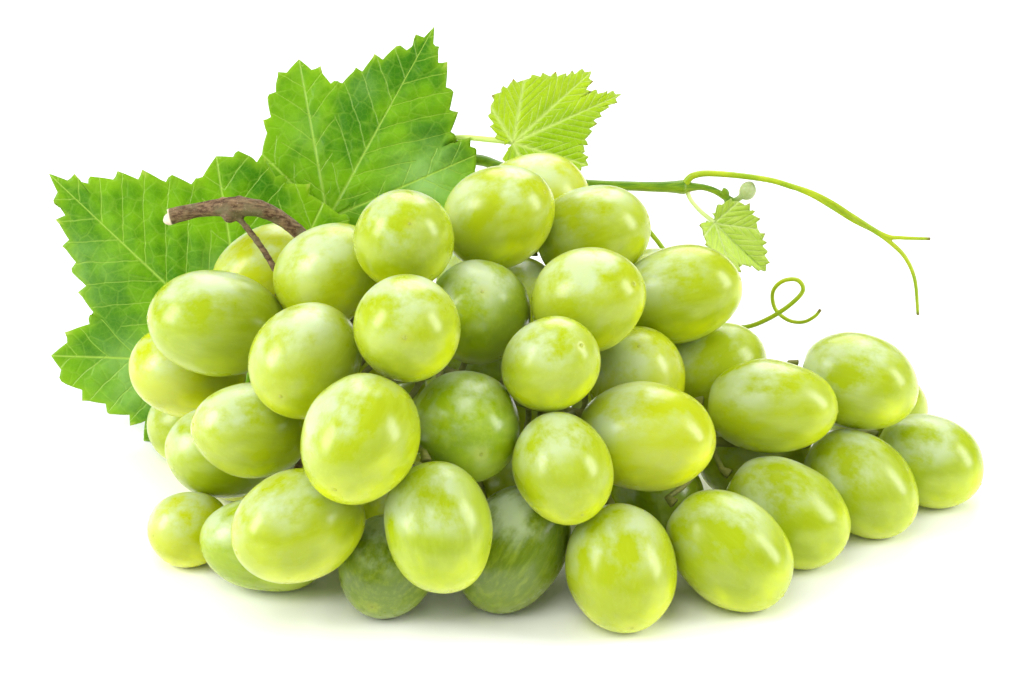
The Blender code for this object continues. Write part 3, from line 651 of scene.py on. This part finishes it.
def oneSkin(piece, voxel, rounds):
    # parts that run into each other become one closed skin
    remesh = piece.modifiers.new("one skin", "REMESH")
    remesh.mode = "VOXEL"
    remesh.voxel_size = voxel
    relax = piece.modifiers.new("relax", "SMOOTH")
    relax.factor = 0.5
    relax.iterations = rounds
    applyAll(piece)
    bpy.ops.object.shade_smooth()


def leafRim(leaf):
    # the rim point by point: how far along and across, the tooth's push, and the lobe it belongs to
    angles, shares = np.array(leaf["outline"]).T
    even = np.linspace(angles[0], angles[-1], leafMaking["rimSteps"])
    fine = np.unique(np.concatenate([even, angles, leaf["mains"], leaf["borders"]]))
    radius = np.interp(fine, angles, shares) * leaf["size"]
    turn = np.radians(fine)
    flat = np.stack([radius * np.cos(turn), radius * np.sin(turn)], axis=1)
    length = np.concatenate([[0], np.cumsum(np.linalg.norm(np.diff(flat, axis=0), axis=1))])
    marks = sorted([(angles[0], "end"), (angles[-1], "end")] + [(a, "tip") for a in leaf["mains"]]
                   + [(a, "dip") for a in leaf["borders"]])
    draw = random.Random(leaf["size"])
    sharp, wander, lean = (leafMaking[name] for name in ("sharpSide", "toothWander", "toothLean"))
    alongs, pushes, leans = [], [], []
    for (first, kindA), (last, kindB) in zip(marks, marks[1:]):
        a, b = np.interp((first, last), fine, length)
        teeth = max(1, round((b - a) / leaf["toothGap"]))
        cuts = np.linspace(a, b, teeth + 1)
        cuts[1:-1] += [draw.uniform(-wander, wander) * leaf["toothGap"] for cut in cuts[1:-1]]
        fromTip = kindA == "tip"
        for k in range(teeth):
            for s in range(leafMaking["samplesPerTooth"]):
                share = s / leafMaking["samplesPerTooth"]
                away = share if fromTip else 1 - share
                long = 1 - away / (1 - sharp)
                if k == (0 if fromTip else teeth - 1):
                    long = 0      # a lobe runs out to a clean point
                short = (away - 1 + sharp) / sharp
                uneven = 0.75 + 0.1 * ((k * 7 + teeth) % 5)
                pushes.append(max(long, short, 0) * leaf["tooth"] * uneven)
                leans.append(-lean if fromTip else lean)
                alongs.append(cuts[k] + share * (cuts[k + 1] - cuts[k]))
    along, push, lean = np.array(alongs + [length[-1]]), np.array(pushes + [0]), np.array(leans + [0])
    points = np.stack([np.interp(along, length, flat[:, axis]) for axis in (0, 1)], axis=1)
    ahead = np.gradient(points, axis=0)
    ahead /= np.linalg.norm(ahead, axis=1)[:, None]
    outward = np.stack([-ahead[:, 1], ahead[:, 0]], axis=1)
    outward *= np.sign((outward * points).sum(axis=1))[:, None]
    teeth = (outward + ahead * lean[:, None]) * push[:, None]
    return points, teeth, push / leaf["tooth"], np.interp(along, length, fine)


def lobeOf(leaf, angle):
    return np.searchsorted(leaf["borders"], angle)


def veinPlace(leaf, flat, lobe):
    # along and across the lobe's main vein, and where the side veins fall, all in shares of the leaf
    turn = np.radians(np.array(leaf["mains"])[lobe])
    along = (flat[..., 0] * np.cos(turn) + flat[..., 1] * np.sin(turn)) / leaf["size"]
    across = (flat[..., 1] * np.cos(turn) - flat[..., 0] * np.sin(turn)) / leaf["size"]
    bend = across * across * leafMaking["bend"]
    side = (along - np.abs(across) * leaf["slant"] + bend) / leaf["veinGap"]
    return along, across, side + leafMaking["stagger"] * (across > 0)


def makeLeaf(node, material):
    leaf = leaves[node]
    rim, teeth, toothShare, rimAngle = leafRim(leaf)
    rays = len(rim) - 1
    rings = max(leafMaking["fewestRings"], round(leaf["size"] * leafMaking["ringsPerSize"]))
    pickNothing()
    bpy.ops.mesh.primitive_grid_add(x_subdivisions=rays, y_subdivisions=rings, size=2)
    blade = bpy.context.object
    sheet = readPoints(blade.data)
    ray = np.rint((sheet[:, 0] + 1) / 2 * rays).astype(int)
    share = np.rint((sheet[:, 1] + 1) / 2 * rings) / rings
    nearRim = np.clip((share - leafMaking["toothStart"]) / (1 - leafMaking["toothStart"]), 0, 1) ** 1.5
    flat = rim[ray] * share[:, None] + teeth[ray] * nearRim[:, None]
    lobe = lobeOf(leaf, rimAngle[ray])
    along, across, side = veinPlace(leaf, flat, lobe)
    # between the veins the blade stands up in soft pillows; the veins lie in its creases
    betweenSides = np.sin(math.pi * side) ** 2
    fromMain = np.clip(np.abs(across) / leafMaking["creaseWidth"], 0, 1)
    border = np.radians(np.abs(rimAngle[ray][:, None] - np.array(leaf["borders"])).min(axis=1)) * share
    calm = np.clip(border / leafMaking["calmBorder"], 0, 1)
    calm *= np.clip((1 - share) / leafMaking["calmRim"], leafMaking["leastPillow"], 1)
    relief = betweenSides * fromMain * calm + leafMaking["creaseDepth"] * (fromMain - 1)
    size = leaf["size"]
    relief += leafMaking["lumps"] * smoothNoise(np.c_[flat, 0 * share], size * leafMaking["lumpSize"], 5)
    # u runs across the leaf and v along it; it cups, curls, waves round the rim and may be folded
    u, v = flat[:, 1], flat[:, 0]
    lift = leaf["cup"] * u * u / size + leaf["curl"] * v * np.abs(v) / size
    lift += leaf["wave"] * np.sin(3 * np.arctan2(u, v) + leaf["phase"]) * (u * u + v * v) / size
    lift += leaf.get("fold", 0) * np.abs(u) + leaf["quilt"] * relief
    lift += nearRim * toothShare[ray] * leafMaking["toothLift"]
    base = np.array(leaf["base"], float)
    ahead = np.array(leaf["tip"], float) - base
    ahead /= np.linalg.norm(ahead)
    face = np.array(leaf["faces"], float)
    face -= (face @ ahead) * ahead
    face /= np.linalg.norm(face)
    sideways = np.cross(ahead, face)
    place = base + np.outer(u, sideways) + np.outer(v, ahead) + np.outer(lift, face)
    place[:, 2] = np.maximum(place[:, 2], leaf["sheet"])      # a lobe that reaches the table lies on it
    mesh = blade.data
    # the pattern of veins is kept per corner, so that it can break where two lobes meet
    corners = np.empty(len(mesh.loops), int)
    mesh.loops.foreach_get("vertex_index", corners)
    corners = corners.reshape(-1, 4)
    middleRay = np.rint(ray[corners].mean(axis=1) * 2).astype(int) / 2
    faceLobe = lobeOf(leaf, np.interp(middleRay, np.arange(rays + 1), rimAngle))
    cornerVeins = np.stack(veinPlace(leaf, flat[corners], faceLobe[:, None].repeat(4, axis=1)), axis=-1)
    pattern = mesh.attributes.new("veins", "FLOAT_VECTOR", "CORNER")
    pattern.data.foreach_set("vector", cornerVeins.astype(np.float32).ravel())
    writePoints(mesh, tablePlace(place))
    giveAttribute(mesh, "flat", np.c_[flat / 10, 0 * share + size])
    giveAttribute(mesh, "rim", share)
    giveAttribute(mesh, "tooth", nearRim * toothShare[ray])
    giveAttribute(mesh, "blade", np.ones(len(place)))
    # painted sheen: lighter patches that stand in for the window's reflection on the blade
    paintedSheen = np.zeros(len(place))
    for turn, reach, width, amount in leaf.get("sheenSpots", ()):
        spot = reach * size * np.array((math.cos(math.radians(turn)), math.sin(math.radians(turn))))
        paintedSheen += amount * np.exp(-(np.linalg.norm(flat - spot, axis=1) / (width * size)) ** 2)
    giveAttribute(mesh, "paintedSheen", np.clip(paintedSheen, 0, 1))
    pickOnly(blade)
    bpy.ops.object.mode_set(mode="EDIT")
    bpy.ops.mesh.select_all(action="SELECT")
    bpy.ops.mesh.remove_doubles(threshold=0.004 * mm)
    bpy.ops.mesh.normals_make_consistent(inside=False)
    bpy.ops.object.mode_set(mode="OBJECT")
    normals = np.empty(len(mesh.polygons) * 3, np.float32)
    mesh.polygons.foreach_get("normal", normals)
    if normals.reshape(-1, 3).mean(axis=0) @ face < 0:
        mesh.flip_normals()
    front = len(mesh.vertices)
    solid = blade.modifiers.new("thickness", "SOLIDIFY")
    solid.thickness = leaf["sheet"] * mm
    solid.offset = 0
    applyAll(blade)
    giveAttribute(blade.data, "back", np.arange(len(blade.data.vertices)) >= front)
    bpy.ops.object.shade_smooth()
    thick, slim = leaf["stalkRadius"], leaf["stalkRadius"] * leafMaking["stalkWaist"]
    stalk = cane(node + "Stalk", leaf["stalk"], (thick, slim, thick))
    whole = join([blade, stalk], node.replace("_", "") + "Blade")
    hold(whole, node, material)
    print(whole.name, len(whole.data.polygons), "faces")


# in each finish the sheen colour is painted sheen, a stand-in for the window's reflection on the blade
leafFinishes = {
    "leafFresh": {
        "deep": (0.050, 0.21, 0.001), "fresh": (0.19, 0.44, 0.001), "vein": (0.42, 0.66, 0.08),
        "rim": (0.28, 0.52, 0.01), "under": (0.20, 0.42, 0.09), "tips": (0.42, 0.58, 0.06),
        "paintedSheen": (0.29, 0.53, 0.13),
        "mainWidth": 0.011, "sideWidth": 0.05, "netScale": 2.4, "through": 0.22,
    },
    "leafYoung": {
        "deep": (0.34, 0.56, 0.004), "fresh": (0.49, 0.69, 0.010), "vein": (0.70, 0.84, 0.24),
        "rim": (0.45, 0.62, 0.08), "under": (0.42, 0.62, 0.16), "tips": (0.36, 0.20, 0.05),
        "paintedSheen": (0.55, 0.75, 0.20),
        "mainWidth": 0.028, "sideWidth": 0.16, "netScale": 7, "through": 0.3,
    },
    "leafTip": {
        "deep": (0.50, 0.70, 0.06), "fresh": (0.66, 0.82, 0.16), "vein": (0.80, 0.90, 0.42),
        "rim": (0.50, 0.66, 0.10), "under": (0.50, 0.68, 0.22), "tips": (0.40, 0.34, 0.08),
        "paintedSheen": (0.60, 0.75, 0.30),
        "mainWidth": 0.03, "sideWidth": 0.17, "netScale": 9, "through": 0.3,
    },
}


# how strongly each part of the pattern shows
leafStrength = {
    "fineNet": 0.08, "net": 0.13, "rim": 0.55, "sides": 0.55, "main": 0.95, "tips": 0.75, "back": 0.65,
}


def leafMaterial(name):
    finish = leafFinishes[name]
    shows = leafStrength
    green = Recipe(name, Roughness=0.38)
    green.set(green.shader, {"Specular IOR Level": 0.26})
    veins = green.add("SeparateXYZ", {"Vector": green.read("veins", "Vector")})
    along, across, side = veins.outputs
    flat = green.read("flat", "Vector")
    blade = green.read("blade")
    fromMain = green.sum("ABSOLUTE", across)
    # main veins thin out towards the tips of the lobes
    thin = green.fade(along, 1.0, 0.0, 0.35, 1.0)
    mainWidth = green.times(thin, finish["mainWidth"])
    main = green.sum("SUBTRACT", 1, green.sum("DIVIDE", fromMain, mainWidth), clamp=True)
    wander = green.sum("MULTIPLY_ADD", green.noise(flat, 1.6, 2), 0.3, -0.15)
    sideBent = green.sum("ADD", side, wander)
    fromSide = green.sum("ABSOLUTE", green.sum("SUBTRACT", green.sum("FRACT", sideBent), 0.5))
    fromSide = green.sum("SUBTRACT", 0.5, fromSide)
    sideWidth = green.fade(fromMain, 0.45, 0.0, finish["sideWidth"] * 0.45, finish["sideWidth"])
    sides = green.sum("SUBTRACT", 1, green.sum("DIVIDE", fromSide, sideWidth), clamp=True)
    cells = green.add("TexVoronoi", {"Vector": flat, "Scale": finish["netScale"], "Randomness": 0.9},
                      feature="DISTANCE_TO_EDGE")
    net = green.fade(cells.outputs["Distance"], 0.09, 0.0)
    finer = green.add("TexVoronoi", {"Vector": flat, "Scale": finish["netScale"] * 3.2},
                      feature="DISTANCE_TO_EDGE")
    fine = green.fade(finer.outputs["Distance"], 0.12, 0.0)
    patch = green.noise(flat, 0.55, 4, 0.6)
    colour = green.blend(green.fade(patch, 0.36, 0.62), finish["deep"], finish["fresh"])
    # painted sheen: lighter patches where the blade turns up to the window stand in for its reflection
    sheenPatch = green.fade(green.noise(flat, 1.3, 4, 0.6), 0.30, 0.60, 0.35, 1.0)
    colour = green.blend(green.times(green.read("paintedSheen"), sheenPatch), colour, finish["paintedSheen"])
    colour = green.blend(green.times(fine, shows["fineNet"]), colour, finish["vein"])
    colour = green.blend(green.times(net, shows["net"]), colour, finish["vein"])
    rim = green.fade(green.read("rim"), 0.93, 1.0)
    colour = green.blend(green.times(rim, shows["rim"]), colour, finish["rim"])
    colour = green.blend(green.times(sides, shows["sides"]), colour, finish["vein"])
    colour = green.blend(green.times(main, shows["main"]), colour, finish["vein"])
    tooth = green.fade(green.read("tooth"), 0.72, 1.0)
    colour = green.blend(green.times(tooth, shows["tips"]), colour, finish["tips"])
    back = green.times(green.read("back"), shows["back"])
    colour = green.blend(back, colour, finish["under"])
    colour = green.blend(blade, finish["vein"], colour)
    height = green.sum("ADD", green.times(main, 0.9), green.times(sides, 0.6))
    height = green.sum("ADD", height, green.times(net, 0.3))
    height = green.sum("SUBTRACT", green.times(green.read("back"), 2.0), height)
    bumped = green.bump(green.times(height, blade), 0.7, 0.25 * mm)
    gloss = green.sum("MULTIPLY_ADD", green.noise(flat, 1.2, 4), 0.22, 0.27)
    green.set(green.shader, {"Base Color": colour, "Roughness": gloss, "Normal": bumped})
    glow = green.add("BsdfTranslucent", {"Color": colour, "Normal": bumped})
    mixed = green.add("MixShader", {0: finish["through"]})
    green.tree.links.new(green.shader.outputs[0], mixed.inputs[1])
    green.tree.links.new(glow.outputs[0], mixed.inputs[2])
    green.tree.links.new(mixed.outputs[0], green.tree.nodes["Material Output"].inputs["Surface"])
    return green.material


leafMaterials = {name: leafMaterial(name) for name in leafFinishes}
for leafNode in leaves:
    makeLeaf(leafNode, leafMaterials[leaves[leafNode]["finish"]])


wood = {
    "route": ((-81, 80, 65), (-74, 80, 66.8), (-66, 79, 68), (-60, 78.5, 67.8), (-55, 78, 65.5),
              (-50.5, 77, 62), (-46, 76, 57.5), (-40, 73, 48)),
    "radii": (1.9, 1.6, 2.1, 1.85, 1.7, 1.65, 1.6, 1.6),
    # place and radius of each knot
    "knots": ((-66.8, 77.9, 66.2, 1.7), (-64.6, 79.6, 69.3, 1.35), (-68.4, 79.4, 69.2, 1.1),
              (-81, 80.6, 64.2, 1.5)),
    "voxel": 0.38 * mm,
    "smoothing": 5,
    "bark": 0.06 * mm,      # how deep the bark's furrows are
    "furrowSize": 1.5 * mm,
    "barkLumps": 0.6,
    "barkLumpSize": 3.2 * mm,
    "cutDepth": 0.9 * mm,
    "reach": 60 * mm,       # how far in from the cut the bark gives way to green
    "dark": (0.060, 0.027, 0.010), "light": (0.25, 0.158, 0.070), "worn": (0.145, 0.125, 0.055),
    "pores": (0.45, 0.32, 0.22), "poreAmount": 0.6,
    "inner": ((0.16, 0.22, 0.03), (0.30, 0.36, 0.06)), "innerAmount": 0.55,
    "cutColour": (0.72, 0.60, 0.44),
}


def makeStem(material):
    pickNothing()
    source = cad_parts["stem"]
    copy = source.copy()
    copy.data = source.data.copy()
    copy.name = "stemCopy"
    bpy.context.scene.collection.objects.link(copy)
    copy.hide_render = copy.hide_viewport = False
    copy.hide_set(False)
    for key in list(copy.keys()):
        del copy[key]
    pickOnly(copy)
    bpy.ops.object.mode_set(mode="EDIT")
    bpy.ops.mesh.select_all(action="SELECT")
    bpy.ops.mesh.remove_doubles(threshold=0.002 * mm)
    bpy.ops.object.mode_set(mode="OBJECT")
    parts = [copy, cane("stalk", wood["route"], wood["radii"], 20, 0.6)]
    parts += [oval(knot[:3], (knot[3],) * 3) for knot in wood["knots"]]
    stem = join(parts, "stemWood")
    oneSkin(stem, wood["voxel"], wood["smoothing"])
    points = readPoints(stem.data)
    normals = readNormals(stem.data)
    start = tablePlace(wood["route"][0])
    second = tablePlace(wood["route"][1])
    way = (second - start) / np.linalg.norm(second - start)
    # furrows run the way the stalk runs, so they are stretched along x there
    furrows = smoothNoise(points * (0.35, 1, 1), wood["furrowSize"], 11)
    furrows += wood["barkLumps"] * smoothNoise(points, wood["barkLumpSize"], 12)
    points += normals * (furrows * wood["bark"])[:, None]
    writePoints(stem.data, points)
    depth = (points - start) @ way
    giveAttribute(stem.data, "cut", np.clip(1 - depth / wood["cutDepth"], 0, 1))
    inside = np.clip((points[:, 0] - start[0]) / wood["reach"], 0, 1)
    giveAttribute(stem.data, "inside", inside)
    hold(stem, "stem", material)
    print("stem:", len(stem.data.polygons), "faces")


def woodMaterial():
    bark = Recipe("woodyStem", Roughness=0.7)
    place = bark.place()
    stretched = bark.add("Mapping", {"Vector": place, "Scale": (0.3, 1.0, 0.7)}).outputs[0]
    grain = bark.noise(stretched, 1500, 4, 0.65)
    patches = bark.noise(place, 260, 3)
    colour = bark.blend(bark.fade(grain, 0.35, 0.68), wood["dark"], wood["light"])
    colour = bark.blend(bark.fade(patches, 0.42, 0.7), colour, wood["worn"])
    pores = bark.fade(bark.noise(place, 3200, 2), 0.64, 0.72)
    colour = bark.blend(bark.times(pores, wood["poreAmount"]), colour, wood["pores"])
    # further in, the stalks that carry the grapes stay green
    green = bark.blend(grain, *wood["inner"])
    inside = bark.fade(bark.read("inside"), 0.45, 1.0, 0.0, wood["innerAmount"])
    colour = bark.blend(inside, colour, green)
    colour = bark.blend(bark.fade(bark.read("cut"), 0.25, 0.75), colour, wood["cutColour"])
    height = bark.sum("ADD", grain, bark.times(patches, 0.5))
    bark.set(bark.shader, {"Base Color": colour, "Roughness": bark.fade(grain, 0.2, 0.8, 0.85, 0.55),
                           "Normal": bark.bump(height, 0.5, 0.25 * mm)})
    return bark.material


makeStem(woodMaterial())


shoot = {
    "route": ((-92, 124, 2.2), (-84, 127, 14), (-72, 129, 30), (-58, 130, 43.5), (-42, 131, 53),
              (-26, 131.5, 58), (-11, 130.5, 59), (-3, 128, 57.6), (13.5, 124.5, 55.3), (29, 123, 55),
              (40.3, 122, 55.2)),
    "radii": (1.7, 1.6, 1.6, 1.7, 1.7, 1.7, 1.4, 1.3, 1.2, 1.2, 1.5),
    "nodes": ((-58, 130, 43.5), (-42, 131, 53), (-26, 131.5, 58), (40.3, 122, 55.2)),
    "swelling": 0.45 * mm,
    "swellingWidth": 2.4 * mm,
    "budStalk": ((40.3, 122, 55.2), (44.5, 122, 55.2), (48, 122, 54), (52, 121.3, 51.6)),
    "budStalkRadii": (1.0, 0.8, 0.8, 1.0),
    "bud": (55.6, 121.5, 54.5),
    "budSize": (2.1, 2.0, 2.5),
    "budLean": 0.35,
    "budFelt": 2.6 * mm,
    "neck": ((52, 121.3, 51.6), (53.2, 121.3, 52.3), (55, 121.4, 53.8)),
    "neckRadii": (0.85, 0.75, 0.8),
    # place and lean of each scale
    "scales": (((50.2, 121.2, 54.2), -0.5), ((50.9, 120.6, 51.2), 2.4), ((52.6, 121.0, 50.9), 1.9)),
    "scaleSize": (0.85, 0.7, 1.35),
    "blushSpot": (1.2, -1.0, -1.6),      # from the last node
    "blushSize": 1.0 * mm,
    "voxel": 0.26 * mm,
    "smoothing": 4,
    "dark": (0.085, 0.205, 0.001), "light": (0.20, 0.34, 0.003),
    "under": (0.36, 0.47, 0.03), "underAmount": 0.55, "blush": (0.60, 0.13, 0.03),
    "felt": ((0.34, 0.44, 0.14), (0.62, 0.66, 0.38)),
}

# the places of each strand, and its radii from root to end
tendrils = {
    "tendril_forked": {
        "strands": (
            (((40.4, 122, 56), (41.2, 121.9, 57.4), (42.6, 121.8, 58.4), (46, 121.5, 59),
              (53.5, 121, 58.6), (61, 120, 57.8), (66, 119, 56.6), (71, 118, 55.35), (76, 117, 53.1),
              (81, 115.8, 50.1), (88.5, 115, 45.5), (93, 114, 45.2), (99.5, 112, 45.8)),
             (1.0, 0.9, 0.85, 0.8, 0.75, 0.72, 0.75, 0.6, 0.55, 0.55, 0.6, 0.5, 0.42)),
            (((66, 119, 56.5), (71, 117.8, 54.7), (76, 116.9, 51.9), (81, 116.2, 48.9),
              (86.2, 115.4, 46.4), (90.5, 114.6, 43.4), (94, 114, 39.8), (96.4, 113, 34.4),
              (97.5, 112, 25.5)),
             (0.5, 0.55, 0.55, 0.6, 0.62, 0.6, 0.55, 0.5, 0.42)),
        ),
    },
    "tendril_curled": {
        "strands": (
            (((10.5, 124.6, 55.2), (11.6, 122.6, 53.8), (19.5, 120, 51.4), (28.5, 118, 48.2),
              (33, 115, 44.6), (37, 112, 39.8), (43.5, 106, 32.4), (49.5, 102, 27.6), (54.4, 100, 27.8),
              (59.7, 98.4, 30.7), (64.8, 97.6, 34.8), (67.8, 98, 38.4), (66.4, 99.2, 40.6),
              (63, 100.6, 39.6), (60.9, 101.6, 36.3), (61.6, 101.4, 32), (64.7, 100.4, 29.5),
              (68.2, 99, 29.6), (70.9, 98, 31.6), (72.2, 98, 33.4)),
             (0.66, 0.62, 0.6, 0.58, 0.55, 0.5, 0.42)),
        ),
    },
}


tendrilMaking = {
    "voxel": 0.2 * mm,
    "smoothing": 3,
    "endLength": 2.2 * mm,      # how much of each end has turned brown
    "dark": (0.25, 0.39, 0.003), "light": (0.42, 0.53, 0.010),
    "fine": (0.46, 0.56, 0.05), "fineAmount": 0.25,
    "end": (0.16, 0.13, 0.03),
}


def makeShoot(material):
    parts = [cane("shootStalk", shoot["route"], shoot["radii"], 18, 0.6),
             cane("budStalk", shoot["budStalk"], shoot["budStalkRadii"], 14, 0.5),
             cane("budNeck", shoot["neck"], shoot["neckRadii"], 12, 0.4),
             oval(shoot["bud"], shoot["budSize"], shoot["budLean"])]
    parts += [oval(place, shoot["scaleSize"], lean) for place, lean in shoot["scales"]]
    whole = join(parts, "shootGreen")
    oneSkin(whole, shoot["voxel"], shoot["smoothing"])
    points = readPoints(whole.data)
    normals = readNormals(whole.data)
    for swell in shoot["nodes"]:
        near = np.linalg.norm(points - tablePlace(swell), axis=1)
        bulge = np.exp(-(near / shoot["swellingWidth"]) ** 2) * shoot["swelling"]
        points += normals * bulge[:, None]
    writePoints(whole.data, points)
    spot = tablePlace(shoot["nodes"][-1]) + np.array(shoot["blushSpot"]) * mm
    near = np.linalg.norm(points - spot, axis=1)
    giveAttribute(whole.data, "blush", np.exp(-(near / shoot["blushSize"]) ** 2))
    near = np.linalg.norm(points - tablePlace(shoot["bud"]), axis=1)
    giveAttribute(whole.data, "bud", np.clip(1.6 - near / shoot["budFelt"], 0, 1))
    giveAttribute(whole.data, "under", np.clip(0.5 - normals[:, 2] * 0.8, 0, 1))
    hold(whole, "shoot", material)
    print("shoot:", len(whole.data.polygons), "faces")


def makeTendrils(material):
    for node, tendril in tendrils.items():
        strands = [cane(node, points, radii, 14, 0.4) for points, radii in tendril["strands"]]
        whole = join(strands, node.replace("_f", "F").replace("_c", "C"))
        oneSkin(whole, tendrilMaking["voxel"], tendrilMaking["smoothing"])
        points = readPoints(whole.data)
        ends = [tablePlace(points[-1]) for points, radii in tendril["strands"]]
        near = np.min([np.linalg.norm(points - end, axis=1) for end in ends], axis=0)
        giveAttribute(whole.data, "end", np.clip(1 - near / tendrilMaking["endLength"], 0, 1))
        hold(whole, node, material)
        print(whole.name, len(whole.data.polygons), "faces")


def shootMaterial():
    green = Recipe("greenShoot", Roughness=0.42)
    place = green.place()
    stretched = green.add("Mapping", {"Vector": place, "Scale": (0.12, 1.0, 1.0)}).outputs[0]
    streaks = green.noise(stretched, 1400, 3, 0.6)
    colour = green.blend(green.fade(streaks, 0.35, 0.7), shoot["dark"], shoot["light"])
    under = green.times(green.read("under"), shoot["underAmount"])
    colour = green.blend(under, colour, shoot["under"])
    bud = green.blend(green.noise(place, 1700, 3), *shoot["felt"])
    colour = green.blend(green.read("bud"), colour, bud)
    colour = green.blend(green.fade(green.read("blush"), 0.35, 0.7), colour, shoot["blush"])
    green.set(green.shader, {"Base Color": colour, "Subsurface Weight": 0.15, "Subsurface Scale": 0.001,
                             "Normal": green.bump(streaks, 0.35, 0.2 * mm)})
    return green.material


def tendrilMaterial():
    lime = Recipe("tendrilGreen", Roughness=0.4)
    place = lime.place()
    patches = lime.noise(place, 160, 3)
    fine = lime.noise(place, 1500, 3)
    colour = lime.blend(lime.fade(patches, 0.35, 0.65), tendrilMaking["dark"], tendrilMaking["light"])
    faint = lime.times(fine, tendrilMaking["fineAmount"])
    colour = lime.blend(faint, colour, tendrilMaking["fine"])
    colour = lime.blend(lime.fade(lime.read("end"), 0.3, 0.9), colour, tendrilMaking["end"])
    lime.set(lime.shader, {"Base Color": colour, "Subsurface Weight": 0.15, "Subsurface Scale": 0.001,
                           "Normal": lime.bump(fine, 0.3, 0.15 * mm)})
    return lime.material


makeShoot(shootMaterial())
makeTendrils(tendrilMaterial())
